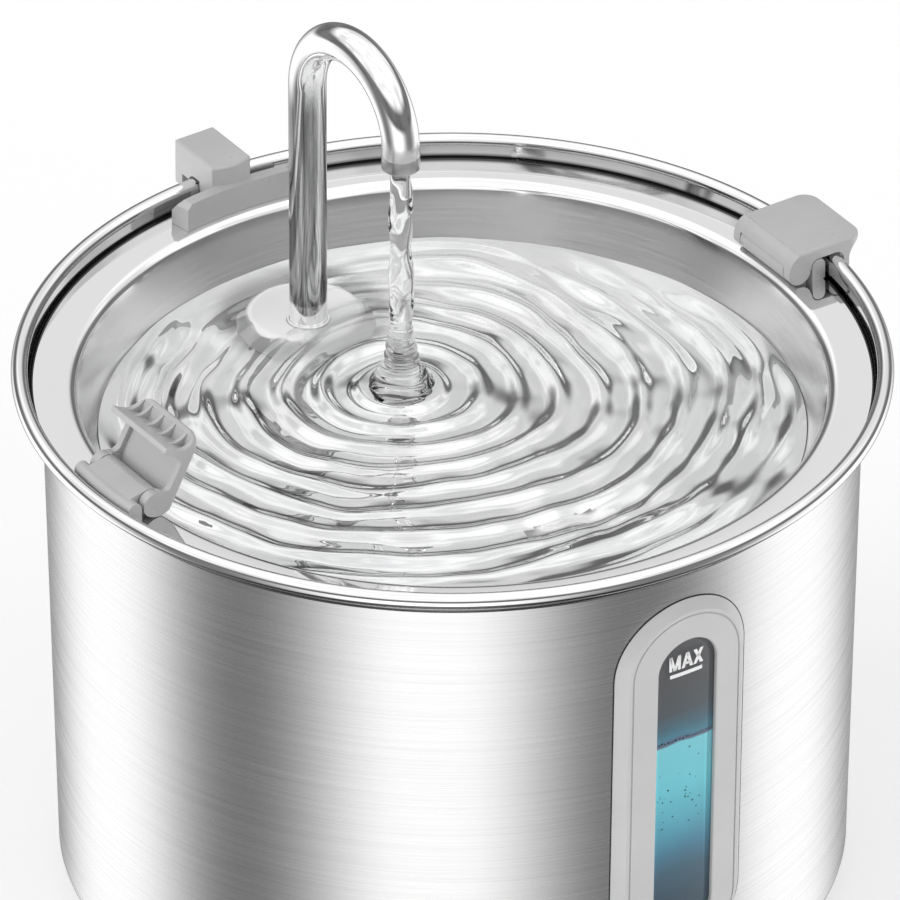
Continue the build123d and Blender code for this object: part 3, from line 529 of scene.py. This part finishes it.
def clear(name, tint, ior, roughness=0.0, metallic=0.0):
    """Clear plastic or water, with a faint variation of its tint."""
    finish = Finish(name)
    bright = tuple(min(1.0, value * 1.03) for value in tint)
    finish.set(
        Base_Color=finish.ramp(finish.noise(45, 3), [(0.3, tint), (0.7, bright)]),
        Roughness=roughness,
        IOR=ior,
        Transmission_Weight=1.0,
        Metallic=metallic,
    )
    return finish.material


def falling_water():
    """The stream: clear as it falls, with painted shade in grey bands where it spreads over the pool."""
    finish = Finish("stream_water")
    sway = finish.math("MULTIPLY", finish.math("SUBTRACT", finish.noise(110, 2), 0.5), 5 * mm)
    above = finish.math("SUBTRACT", finish.math("ADD", finish.along("Z"), sway), water_z)
    share = finish.span(above, 0, 30 * mm, smoothed=False)
    # painted shade: dark bands in the tint of the stream's cone just above the pool
    bands = [
        (0.00, 0.52),
        (0.10, 0.78),
        (0.26, 0.86),
        (0.33, 0.38),
        (0.46, 0.46),
        (0.50, 0.93),
        (0.60, 0.80),
        (0.66, 0.97),
    ]
    finish.set(Base_Color=finish.ramp(share, bands), IOR=1.4, Roughness=0.0, Transmission_Weight=1.0)
    return finish.material


def basin_water():
    """The tray's water: mirror-like, and clearer over the dome, which shows through it."""
    finish = Finish("pool_water")
    off_dome = finish.flat_length(finish.vector("SUBTRACT", finish.coords, dome_centre))
    finish.set(
        Base_Color=finish.ramp(finish.noise(45, 3), [(0.3, (0.97, 0.98, 0.985)), (0.7, 1.0)]),
        Roughness=0.0,
        IOR=1.33,
        Transmission_Weight=1.0,
        Metallic=finish.span(off_dome, 19 * mm, 27 * mm, 0.22, 0.74),
    )
    return finish.material


def lit_bed():
    """The basin's floor under moving water, with the net of light that the ripples throw on it."""
    finish = Finish("lit_bed")
    place = finish.node("ShaderNodeMapping", {"Vector": finish.coords, "Location": -impact}).outputs[0]
    waves = {"Vector": place, "Scale": 30.5, "Distortion": 3.0, "Detail": 2.0, "Detail Scale": 1.4}
    rings = finish.node("ShaderNodeTexWave", waves, wave_type="RINGS", rings_direction="SPHERICAL")
    warp = finish.node("ShaderNodeTexNoise", {"Vector": finish.coords, "Scale": 40.0, "Detail": 2.0})
    bent = finish.node("ShaderNodeMix", {0: 0.06, 4: finish.coords, 5: warp.outputs[1]}, data_type="VECTOR")
    net = finish.node("ShaderNodeTexVoronoi", {"Vector": bent.outputs[1], "Scale": 75.0}, feature="F2")
    glints = finish.math("MULTIPLY", finish.span(net.outputs["Distance"], 0.25, 0.85), 0.45)
    light = finish.math("ADD", finish.math("MULTIPLY", rings.outputs["Fac"], 0.75), glints)
    finish.set(
        Base_Color=finish.ramp(light, [(0.2, 0.06), (0.6, 0.40), (0.95, 0.9)]),
        Metallic=0.8,
        Roughness=0.16,
    )
    finish.bump(light, strength=0.4, depth=0.6 * mm)
    return finish.material


def seen_water():
    """Water seen through the level window, with the pump's light from below painted into its colour and
    glow, and painted shade towards the window's edges.
    """
    finish = Finish("seen_water")
    height = finish.along("Z")
    sway = finish.math("MULTIPLY", finish.math("SUBTRACT", finish.noise(60, 2), 0.5), 5 * mm)
    shown = window_high + opening_radius - window_low
    level = finish.span(finish.math("ADD", height, sway), window_low, window_low + shown, smoothed=False)
    tints = [                        # height in millimetres, and colour; the pump's light is painted in, brightest just under the level
        (41, (0.050, 0.078, 0.105)),
        (50, (0.060, 0.115, 0.155)),
        (58, (0.075, 0.21, 0.30)),
        (67, (0.11, 0.37, 0.46)),
        (78, (0.155, 0.51, 0.58)),
        (90.6, (0.19, 0.53, 0.59)),
        (91.1, (0.11, 0.125, 0.18)),
        (92.0, (0.09, 0.12, 0.18)),
        (92.7, (0.072, 0.20, 0.27)),
        (96, (0.070, 0.14, 0.18)),
        (101, (0.082, 0.095, 0.105)),
        (110, (0.092, 0.090, 0.094)),
    ]
    colour = finish.ramp(level, [((z * mm - window_low) / shown, tint) for z, tint in tints])
    above = finish.math("MAXIMUM", finish.math("SUBTRACT", height, window_high), 0.0)
    side = finish.math("ABSOLUTE", finish.along("X"))
    squares = finish.math("ADD", finish.math("POWER", side, 2.0), finish.math("POWER", above, 2.0))
    off_middle = finish.math("SQRT", squares)
    off = finish.span(off_middle, 6.8 * mm, 9.8 * mm, smoothed=False)
    # painted shade towards the window's edges, with a painted highlight just inside them
    edge = finish.ramp(off, [(0.0, 1.0), (0.3, 1.15), (0.4, 0.72), (0.75, 0.85), (0.9, 0.45), (1.0, 0.15)])
    colour = finish.blend(1.0, colour, edge, "MULTIPLY")
    # painted glow: the painted colour also shines as light
    finish.set(Base_Color=colour, Roughness=0.3, Emission_Color=colour, Emission_Strength=0.68)
    return finish.material


def bubble():
    """Air on the lens, dark against the lit water."""
    finish = Finish("bubble")
    deep, pale = (0.02, 0.10, 0.13), (0.06, 0.22, 0.27)
    finish.set(Base_Color=finish.ramp(finish.noise(900, 2), [(0.3, deep), (0.7, pale)]), Roughness=0.08)
    return finish.material


pale_plastic = moulded("pale_plastic", 0.47, 0.52, roughness=0.32, coat=0.4)
bezel_plastic = moulded("bezel_plastic", 0.60, 0.64, roughness=0.34)
white_plastic = moulded("white_plastic", 0.94, 0.97, roughness=0.16, grain=600, coat=0.5)
dark_plastic = moulded("dark_plastic", 0.018, 0.03, roughness=0.4)
chrome = polished_steel("chrome", roughness=0.03, tone=0.93)
outlet_steel = polished_steel("outlet_steel", roughness=0.16, tone=0.52)
bright_steel = polished_steel("bright_steel", roughness=0.2, tone=0.75)
black_rubber = soft("black_rubber", 0.012, 0.025)
clear_plastic = clear("clear_plastic", (0.95, 0.97, 0.98), ior=1.45, roughness=0.01)

dress(pale_plastic, "window_retainer", "flow_dial", "impeller", "riser_pipe")
dress(white_plastic, "base_nut", "filter_holder")
dress(dark_plastic, "pump_body", "pump_rear_cap", "impeller_cover", "intake_grille")
dress(clear_plastic, "pump_light")
dress(black_rubber, "faucet_seal", "base_seal", "pump_oring", "window_gasket", "riser_seal", "cord_gland")
dress(soft("grey_silicone", 0.16, 0.22, roughness=0.6), "foot_ring", "suction_cups")
dress(foam("black_foam", 0.01, 0.05, cells=900), "prefilter_foam")
dress(foam("filter_fleece", 0.35, 0.75, cells=500), "filter_cartridge")
dress(bright_steel, "window_screws", "impeller_shaft", "latch_rivets", "bridge_rivets")
dress(bright_steel, "left_latch_pin", "right_latch_pin")
dress(soft("ferrite", 0.02, 0.05, roughness=0.5), "rotor_magnet")
dress(moulded("ceramic", 0.7, 0.78, roughness=0.25), "shaft_bushes")
dress(banded("laminated_core", 0.05, 0.3, "Y", pitch=500, roughness=0.45), "stator_core")
copper = banded("enamelled_copper", (0.25, 0.06, 0.02), (0.72, 0.27, 0.10), "Z", pitch=900, roughness=0.3)
dress(copper, "stator_coils")


# ---------------------------------------------------------------- moulded pieces with eased edges
flat_angle = math.radians(0.6)       # faces that bend less than this are one face
sharp_angle = 38                     # edges that bend more than this are eased


def eased(node, material, edge):
    """A copy of a CAD node with its doubles merged and its sharp edges eased."""
    piece = bpy.data.objects.new(f"{node}_eased", frame["nodes"][node].data.copy())
    bpy.context.scene.collection.objects.link(piece)
    merge(piece)
    add_modifier(piece, "DECIMATE", decimate_type="DISSOLVE", angle_limit=flat_angle)
    add_modifier(
        piece,
        "BEVEL",
        width=edge,
        segments=3,
        limit_method="ANGLE",
        angle_limit=math.radians(sharp_angle),
        use_clamp_overlap=True,
        miter_outer="MITER_ARC",
    )
    smooth(piece, sharp_angle)
    add_modifier(piece, "WEIGHTED_NORMAL", keep_sharp=True)
    piece.data.materials.clear()
    piece.data.materials.append(material)
    stands_for(piece, node)


for side in ("left", "right"):
    eased(f"{side}_latch_base", pale_plastic, 0.25 * mm)
    eased(f"{side}_latch_lever", pale_plastic, 0.2 * mm)
eased("cord_bridge", pale_plastic, 0.3 * mm)
eased("window_bezel", bezel_plastic, 0.12 * mm)
eased("faucet_base", white_plastic, 0.2 * mm)
eased("faucet_collar", chrome, 0.08 * mm)


# ---------------------------------------------------------------- steel pieces
steel_steps = 288                    # sides of the bucket and the tray


def make_bucket():
    """The deep-drawn bucket with its shoulder, recess and rolled rim."""
    outside = rounded(
        (0, floor_under),
        (body_outer(floor_under), floor_under, 6.0 * mm),
        (body_outer(ledge_z - sheet), ledge_z - sheet, 1.2 * mm),
        (recess_radius + sheet, ledge_z - sheet, 2.2 * mm),
        (recess_radius + sheet, rim_top - bead),
    )[:-1]
    centre = Vector((rim_radius - bead, rim_top - bead))
    start = -math.pi + math.acos((bead - sheet) / bead)
    steps = 40
    for step in range(steps + 1):
        angle = start + (math.pi - start) * step / steps
        outside.append(centre + Vector((math.cos(angle), math.sin(angle))) * bead)
    inside = rounded(
        (recess_radius, rim_top - bead),
        (recess_radius, ledge_z, 1.4 * mm),
        (body_outer(ledge_z) - sheet, ledge_z, 2.0 * mm),
        (body_outer(floor_under + sheet) - sheet, floor_under + sheet, 5.2 * mm),
        (0, floor_under + sheet),
    )[1:]
    bucket = lathe("bucket_shell", outside + inside, steel_steps)
    cut(bucket, window_bar(window_hole))
    smooth(bucket, 32)
    bucket.data.materials.append(brushed_steel())
    stands_for(bucket, "bucket")


def make_tray():
    """The drinking tray: flat flange, rounded mouth, sloping wall, and its holes."""
    skew = sheet / math.cos(math.atan(basin_lean)) - sheet * basin_lean
    profile = rounded(
        (0, basin_z),
        (basin_wall(basin_z), basin_z, 8.0 * mm),
        (mouth_radius, flange_z, 3.4 * mm),
        (flange_radius, flange_z),
        (flange_radius, flange_z - sheet),
        (mouth_radius + skew, flange_z - sheet, 2.6 * mm),
        (basin_wall(basin_z) + skew, basin_z - sheet, 8.8 * mm),
        (0, basin_z - sheet),
    )
    tray = lathe("tray_shell", profile, steel_steps)
    holder_low, holder_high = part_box("filter_holder")
    holder = (holder_low + holder_high) / 2
    drains = 14
    drain_ring = 22.5 * mm
    drain_arc = math.radians(210)
    middle = math.atan2(spout_way.y, spout_way.x)
    for index in range(drains):
        angle = middle - drain_arc / 2 + drain_arc * index / (drains - 1)
        x = holder.x + drain_ring * math.cos(angle)
        y = holder.y + drain_ring * math.sin(angle)
        drill(tray, x, y, basin_z, radius=1.6 * mm, sides=24)
    drill(tray, foot.x, foot.y, basin_z, radius=7.5 * mm, sides=48)
    drill(tray, 0, cord_hole_y, flange_z, radius=2.45 * mm, sides=32)
    smooth(tray, 32)
    tray.data.materials.append(basin_steel())
    stands_for(tray, "tray")


def make_tube():
    """The gooseneck: a ring raised, spun over the arch and brought down to the spout."""
    middle = foot.xy + spout_way * arch_radius
    pick()
    start = (foot.x, foot.y, tube_low.z)
    bpy.ops.mesh.primitive_circle_add(vertices=72, radius=tube_radius, location=start)
    bpy.ops.object.mode_set(mode="EDIT")
    bpy.ops.mesh.select_all(action="SELECT")
    rise = (0, 0, arch_z - tube_low.z)
    bpy.ops.mesh.extrude_region_move(TRANSFORM_OT_translate={"value": rise})
    bpy.ops.mesh.spin(
        steps=64, angle=math.pi, center=(middle.x, middle.y, arch_z), axis=(spout_way.y, -spout_way.x, 0)
    )
    drop = (0, 0, spout_end - arch_z)
    bpy.ops.mesh.extrude_region_move(TRANSFORM_OT_translate={"value": drop})
    bpy.ops.object.mode_set(mode="OBJECT")
    tube = named("faucet_gooseneck")
    bpy.ops.object.transform_apply(location=True, rotation=True, scale=True)
    merge(tube)
    add_modifier(tube, "SOLIDIFY", thickness=1.0 * mm, offset=-1)
    smooth(tube, 40)
    tube.data.materials.append(drawn_chrome())
    stands_for(tube, "faucet_tube")


def make_outlet():
    """The short ring at the gooseneck's end, with its spigot up inside the tube."""
    ring_top = spout_end - 0.02 * mm
    ring_radius = tube_radius + 0.1 * mm
    bore = 2.8 * mm
    spigot = tube_radius - 1.05 * mm
    profile = rounded(
        (bore, outlet_low.z + 1.0 * mm),
        (bore, outlet_low.z, 0.35 * mm),
        (ring_radius, outlet_low.z, 0.4 * mm),
        (ring_radius, ring_top, 0.15 * mm),
        (spigot, ring_top),
        (spigot, outlet_high.z),
        (bore, outlet_high.z),
        (bore, outlet_low.z + 1.0 * mm),
    )
    ring = lathe("outlet_ring", profile, 96, outlet.xy)
    smooth(ring, 35)
    ring.data.materials.append(outlet_steel)
    stands_for(ring, "faucet_outlet")


make_bucket()
make_tray()
make_tube()
make_outlet()

# ---------------------------------------------------------------- water
water_radius = basin_wall(water_z) - 0.15 * mm
ring_pitch = 10.3 * mm
ring_height = 0.72 * mm
first_crest = 20.6 * mm
slow_bend = 5.4 * mm                 # how far the rings stray from true circles
quick_bend = 1.6 * mm
boil_height = 1.2 * mm
swell_height = 0.85 * mm
chop_height = 0.42 * mm
broken_height = 0.55 * mm            # more chop in a patch near the front
wash_pitch = 13 * mm
wash_height = 0.32 * mm
heap_height = 1.65 * mm
from_impact = (dome_centre - impact).xy.normalized()
dome_front = dome_centre.xy - from_impact * 14.5 * mm
root_two = math.sqrt(2)


def eased_step(value, low, high):
    """From 0 to 1, level at both ends, as a value goes from low to high."""
    share = min(1.0, max(0.0, (value - low) / (high - low)))
    return share * share * (3 - 2 * share)


def falloff(distance, width, power=2):
    """1 at no distance, and soon 0 beyond a width on either side."""
    return math.exp(-((distance / width) ** power))


def scatter(x, y, scale, layer):
    """Smooth noise between -1 and 1 over a level surface; each layer is another pattern."""
    return noise.noise(Vector((x * scale, y * scale, layer)))


def rings(x, y, distance, bend):
    """The rings that run out from where the stream lands."""
    phase = (distance + bend - first_crest) / ring_pitch * math.tau
    strength = 1.0 + 0.9 * scatter(x, y, 27, 7.0)
    fade = eased_step(distance, 10 * mm, 18 * mm) * math.exp(-max(0.0, distance - 20 * mm) / (170 * mm))
    return (math.cos(phase) + 0.28 * math.cos(2 * phase)) * ring_height * fade * strength


def back_wash(outwards, bend):
    """The small waves that the basin's wall sends back."""
    wave = math.cos((outwards + bend) / wash_pitch * math.tau) * wash_height
    return wave * eased_step(outwards, 50 * mm, 80 * mm)


def bow_wave(x, y):
    """A crest with a trough behind it, near the front."""
    crest = 1.6 * mm * falloff(y + 68 * mm, 3.0 * mm * root_two)
    trough = 1.3 * mm * falloff(y + 57 * mm, 6.0 * mm * root_two)
    return (crest - trough) * falloff(x - 7 * mm, 27 * mm, 4)


def heap(x, y):
    """The water that stands up against the dome's front."""
    from_dome = Vector((x - dome_front.x, y - dome_front.y))
    across = from_dome.dot(from_impact)
    beside = from_dome.dot(Vector((-from_impact.y, from_impact.x)))
    return heap_height * falloff(across, 8 * mm * root_two) * falloff(beside, 15 * mm * root_two)


def ripple(x, y):
    """Height of the pool's surface above its level."""
    distance = math.hypot(x - impact.x, y - impact.y)
    outwards = math.hypot(x, y)
    bend = scatter(x, y, 20, 2.0) * slow_bend * eased_step(distance, 8 * mm, 40 * mm)
    bend += scatter(x, y, 48, 11.0) * quick_bend * eased_step(distance, 12 * mm, 34 * mm)
    boil = boil_height * (1 - eased_step(distance, 10.5 * mm, 13.5 * mm))
    waves = rings(x, y, distance, bend) + boil + back_wash(outwards, bend) + bow_wave(x, y)
    broken = falloff(x - 8 * mm, 27 * mm) * falloff(y + 60 * mm, 9 * mm)
    chop = scatter(x, y, 46, 5.0) * swell_height
    chop += scatter(x, y, 90, 9.0) * (chop_height + broken_height * broken)
    inwards = eased_step(water_radius - outwards, 0, 6 * mm)
    return waves * (0.3 + 0.7 * inwards) + chop * (0.35 + 0.65 * inwards) + heap(x, y)


def disc(radius, z, count):
    """Profile of a level surface, cut into rings; it stops one ring short of the radius."""
    return [(radius * index / count, z) for index in range(count)]


def make_pool():
    """The rippled surface and the body of water under it."""
    depth = basin_z + 0.3 * mm
    under = rounded(
        (0, water_z),
        (water_radius, water_z),
        (basin_wall(depth) - 0.3 * mm, depth, 8.0 * mm),
        (0, depth),
    )[1:]
    pool = lathe("pool", disc(water_radius, water_z, 120) + under, 320)
    for vertex in pool.data.vertices:
        if vertex.co.z > water_z - hair:
            vertex.co.z += ripple(vertex.co.x, vertex.co.y)
    smooth(pool, 60)
    pool.data.materials.append(basin_water())
    pool.data.materials.append(lit_bed())
    for face in pool.data.polygons:
        if face.center.z < water_z - 1.5 * mm:
            face.material_index = 1
    belongs(pool, "tray")


def stream_radius(above, fallen):
    """Radius of the stream: a thin column on a cone that spreads where it lands."""
    column = 2.75 * mm + 0.35 * mm * eased_step(fallen, 0, 30 * mm)
    shoulder = 1.3 * mm * eased_step(22 * mm - above, 0, 14 * mm)
    cone = 4.4 * mm * eased_step(10 * mm - above, 0, 11 * mm)
    return column + shoulder + cone


def stream_scale(above, angle):
    """How far the stream's side stands out or in: twisted lobes, lumps and, near the pool, layers."""
    lobes = 0.08 * math.cos(2 * angle + above * 240) + 0.04 * math.cos(3 * angle - above * 400)
    lumps = 0.15 * noise.noise(Vector((math.cos(angle) * 0.5, above * 150, math.sin(angle) * 0.5)))
    calm = 0.3 + 0.7 * eased_step(above, 6 * mm, 22 * mm)
    layers = 0.06 * math.cos(above / (2.6 * mm) * math.tau) * (1 - eased_step(above, 14 * mm, 22 * mm))
    return 1 + (lobes + lumps) * calm + layers


def make_stream():
    """The falling stream and the stepped cone where it lands."""
    top = outlet_low.z + 1.5 * mm
    fall = top - water_z
    count = 110
    profile = [(0, top)]
    for index in range(count + 1):
        z = top - fall * index / count
        profile.append((stream_radius(z - water_z, top - z), z))
    profile.append((0, water_z - 0.5 * mm))
    stream = lathe("stream", profile, 56, (impact.x, impact.y))
    for vertex in stream.data.vertices:
        across = vertex.co.xy - impact.xy
        if across.length < hair:
            continue
        above = vertex.co.z - water_z
        angle = math.atan2(across.y, across.x)
        vertex.co.xy = impact.xy + across * stream_scale(above, angle)
        if above < 8 * mm:
            vertex.co.z += 0.5 * mm * math.cos(3 * angle + 1) * (1 - eased_step(above, 2 * mm, 8 * mm))
    smooth(stream, 60)
    stream.data.materials.append(falling_water())
    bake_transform(stream)


def make_store():
    """The level of the water that stands in the bucket under the tray."""
    reach = body_outer(store_z) - sheet - 0.3 * mm
    under = store_z - 0.6 * mm
    profile = disc(reach, store_z, 40) + [(reach, store_z), (reach, under), (0, under)]
    store = lathe("store_water", profile, 128)
    for vertex in store.data.vertices:
        inwards = eased_step(reach - vertex.co.xy.length, 0, 10 * mm)
        vertex.co.z += scatter(vertex.co.x, vertex.co.y, 30, 3.0) * 0.5 * mm * inwards
    smooth(store, 50)
    store.data.materials.append(clear("store_water", (0.72, 0.88, 0.92), ior=1.33, metallic=0.25))
    belongs(store, "bucket")


make_pool()
make_stream()
make_store()


# ---------------------------------------------------------------- level window
def make_lens():
    """The clear lens, wrapped round the body."""
    lens = body_layer("window_glass", inner=-0.1 * mm, outer=lens_proud, radius=lens_end)
    smooth(lens, 30)
    lens.data.materials.append(clear_plastic)
    stands_for(lens, "window_lens")


def make_window_water():
    """The water that stands behind the lens, and its level."""
    panel = body_layer("window_water", inner=-0.5 * mm, outer=-0.12 * mm, radius=lens_end - 0.2 * mm)
    smooth(panel, 30)
    panel.data.materials.append(seen_water())
    belongs(panel, "bucket")


def make_frame_shadow_line():
    """A thin dark line of painted shade all round the window's frame, where the frame meets the body."""
    # painted shade: a thin dark strip just outside the frame
    outside = bezel_radius + 0.28 * mm
    edge = body_layer("window_frame_shadow_line", inner=-0.2 * mm, outer=0.16 * mm, radius=outside)
    cut(edge, window_bar(bezel_radius - 1.5 * mm))
    smooth(edge, 30)
    edge.data.materials.append(black_rubber)
    belongs(edge, "bucket")


def make_bubbles():
    """Air bubbles on the lens: a few in the water, and a chain along its level."""
    places = []
    for _ in range(30):
        x = random.uniform(-7.5, 7.5) * mm
        z = random.triangular(60, 90, 74) * mm
        places.append((x, z, random.uniform(0.10, 0.30) * mm))
    for index in range(-8, 9):
        x = (index + random.uniform(-0.3, 0.3)) * 1.05 * mm
        z = store_z + 0.6 * mm + random.uniform(-0.25, 0.25) * mm
        places.append((x, z, random.uniform(0.18, 0.34) * mm))
    bubbles = []
    for x, z, radius in places:
        reach = body_outer(z) - 0.13 * mm
        spot = (x, -math.sqrt(reach**2 - x**2), z)
        pick()
        bpy.ops.mesh.primitive_ico_sphere_add(subdivisions=2, radius=radius, location=spot)
        bubbles.append(bpy.context.object)
    pick(*bubbles)
    bpy.ops.object.join()
    chain = named("window_bubbles")
    bpy.ops.object.transform_apply(location=True, rotation=True, scale=True)
    smooth(chain, 60)
    chain.data.materials.append(bubble())
    belongs(chain, "bucket")


def stroke(x_low, x_high, low, high, width):
    """A flat stroke of a letter as (x, y) corners; its ends are level."""
    return [(x_low, low), (x_low + width, low), (x_high + width, high), (x_high, high)]


def max_strokes():
    """The strokes of the level mark's three letters and of its line, in millimetres."""
    top, low = 2.25, -2.25
    m_left, m_dip, m_right, upright, slant = -5.3, -3.96, -2.65, 0.85, 0.82
    a_left, a_top, a_right, a_slant = -1.5, -0.2, 1.1, 0.95
    x_left, x_right, x_slant = 2.1, 4.25, 1.05
    return [
        stroke(m_left, m_left, low, top, upright),
        stroke(m_right, m_right, low, top, upright),
        stroke(m_dip, m_left, low, top, slant),
        stroke(m_dip, m_right, low, top, slant),
        stroke(a_left, a_top, low, top, a_slant),
        stroke(a_right, a_top, low, top, a_slant),
        stroke(a_left + 0.7, a_left + 0.9, low + 0.95, low + 1.65, 2.1),
        stroke(x_left, x_right, low, top, x_slant),
        stroke(x_right, x_left, low, top, x_slant),
        stroke(-5.0, -5.0, low - 2.2, low - 1.1, 10.0),
    ]


def make_mark():
    """White print of the highest level, wrapped onto the lens's outside."""
    pieces = []
    for corners in max_strokes():
        pick()
        bpy.ops.mesh.primitive_grid_add(x_subdivisions=8, y_subdivisions=4, size=1)
        grid = bpy.context.object
        left_low, right_low, right_high, left_high = [Vector(corner) * mm for corner in corners]
        for vertex in grid.data.vertices:
            across, up = vertex.co.x + 0.5, vertex.co.y + 0.5
            low = left_low.lerp(right_low, across)
            high = left_high.lerp(right_high, across)
            vertex.co.xy = low.lerp(high, up)
        pieces.append(grid)
    pick(*pieces)
    bpy.ops.object.join()
    mark = named("level_mark")
    for vertex in mark.data.vertices:
        z = window_high + 2.25 * mm + vertex.co.y
        reach = body_outer(z) + lens_proud + 0.02 * mm
        vertex.co = Vector((vertex.co.x, -math.sqrt(reach**2 - vertex.co.x**2), z))
    add_modifier(mark, "SOLIDIFY", thickness=0.05 * mm, offset=1)
    merge(mark)
    mark.data.materials.append(moulded("white_print", 0.93, 0.97, roughness=0.5))
    belongs(mark, "bucket")


make_lens()
make_window_water()
make_frame_shadow_line()
make_bubbles()
make_mark()

# ---------------------------------------------------------------- floor, light and camera
camera_azimuth = -34.0
camera_elevation = 32.2935
camera_distance = 6.0
focal_length = 919.8
aim_height = rim_top - 27.65 * mm
shift_right = 2.5 / 900              # the object stands a little right of the middle


def softbox(studio, level, azimuth, half_width, soft_edge):
    """1 where a level direction looks into an upright softbox, and 0 past its soft edge; in degrees."""
    angle = math.radians(azimuth)
    facing = studio.vector("DOT_PRODUCT", level, (math.sin(angle), -math.cos(angle), 0), "Value")
    near = math.radians(half_width)
    far = near + math.radians(soft_edge)
    return studio.span(studio.math("ARCCOSINE", facing), near, far, 1, 0)


def studio_world():
    """White to the camera, plain to matt surfaces, softboxes and dark gaps to metal and water."""
    world = bpy.data.worlds.new("studio")
    bpy.context.scene.world = world
    world.use_nodes = True
    world.node_tree.nodes.clear()
    studio = Graph(world.node_tree, "Generated")
    direction = studio.coords
    up = studio.node("ShaderNodeSeparateXYZ", {"Vector": direction}).outputs["Z"]
    level = studio.vector("NORMALIZE", studio.flat(direction), (0, 0, 0))
    front = softbox(studio, level, camera_azimuth - 6, half_width=8, soft_edge=52)
    right = softbox(studio, level, camera_azimuth + 118, half_width=8, soft_edge=52)
    left = softbox(studio, level, camera_azimuth - 120, half_width=10, soft_edge=45)
    sides = studio.math("MULTIPLY", studio.math("MAXIMUM", right, left), 0.86)
    boxes = studio.math("POWER", studio.math("MAXIMUM", front, sides), 1.4)
    below = studio.between(boxes, 0.20, 1.40)
    below = studio.math("MULTIPLY", below, studio.span(up, -0.80, -0.69, 0.12, 1.0))
    clouds = studio.span(studio.noise(2.6, 2), 0.38, 0.60, 0.86, 1.22)
    sky = studio.math("MULTIPLY", studio.span(up, 0.30, 0.53, 0.16, 0.93), clouds)
    sky = studio.math("ADD", sky, studio.span(up, 0.60, 0.80, 0.0, 0.20))
    mirrored = studio.between(studio.span(up, -0.10, 0.06), below, sky)
    from_camera, mirrored_ray = studio.light_path()
    plain = studio.between(from_camera, 0.70, 1.0)
    strength = studio.between(mirrored_ray, plain, mirrored)
    background = studio.node("ShaderNodeBackground", {"Color": grey(1), "Strength": strength})
    output = studio.node("ShaderNodeOutputWorld")
    studio.link(background.outputs[0], output.inputs["Surface"])


def make_floor():
    """A pale floor that takes the shadow, shines a little to the camera and isn't there to mirrors."""
    pick()
    bpy.ops.mesh.primitive_plane_add(size=12, location=(0, 0, 0))
    floor = named("floor")
    finish = Finish("pale_floor")
    from_camera, mirrored_ray = finish.light_path()
    grain = finish.ramp(finish.noise(6, 2), [(0.3, 0.95), (0.7, 0.97)])
    finish.set(
        Base_Color=finish.blend(from_camera, grain, grey(0.5)),
        Roughness=0.9,
        Specular_IOR_Level=0.0,
        Emission_Color=grey(1),
        Emission_Strength=finish.math("MULTIPLY", from_camera, 0.53),
    )
    open_view = finish.node("ShaderNodeBsdfTransparent").outputs[0]
    mixed = finish.node("ShaderNodeMixShader", {0: mirrored_ray, 1: finish.shader.outputs[0], 2: open_view})
    finish.link(mixed.outputs[0], finish.tree.nodes["Material Output"].inputs["Surface"])
    floor.data.materials.append(finish.material)


def make_lamp(name, towards, energy, spread):
    """A broad soft lamp, far away."""
    pick()
    bpy.ops.object.light_add(type="SUN", location=(0, 0, 2))
    lamp = bpy.context.object
    lamp.name = name
    lamp.rotation_mode = "QUATERNION"
    lamp.rotation_quaternion = Vector(towards).to_track_quat("Z", "Y")
    lamp.data.energy = energy
    lamp.data.angle = math.radians(spread)
    lamp.visible_glossy = False


def make_camera():
    """A long lens from the front left and above."""
    azimuth = math.radians(camera_azimuth)
    elevation = math.radians(camera_elevation)
    level = math.cos(elevation)
    back = Vector((math.sin(azimuth) * level, -math.cos(azimuth) * level, math.sin(elevation)))
    data = bpy.data.cameras.new("camera")
    camera = bpy.data.objects.new("camera", data)
    bpy.context.scene.collection.objects.link(camera)
    camera.location = Vector((0, 0, aim_height)) + back * camera_distance
    camera.rotation_mode = "QUATERNION"
    camera.rotation_quaternion = (-back).to_track_quat("-Z", "Y")
    data.lens = focal_length
    data.sensor_width = 36
    data.shift_x = -shift_right
    data.clip_start = 0.1
    data.clip_end = 30
    bpy.context.scene.camera = camera


studio_world()
make_floor()
make_lamp("key_lamp", (-0.86, 0.32, 0.40), energy=1.40, spread=45)
make_lamp("fill_lamp", (0.45, -0.85, 0.25), energy=0.70, spread=70)
make_camera()
bpy.context.scene.view_settings.view_transform = "Standard"
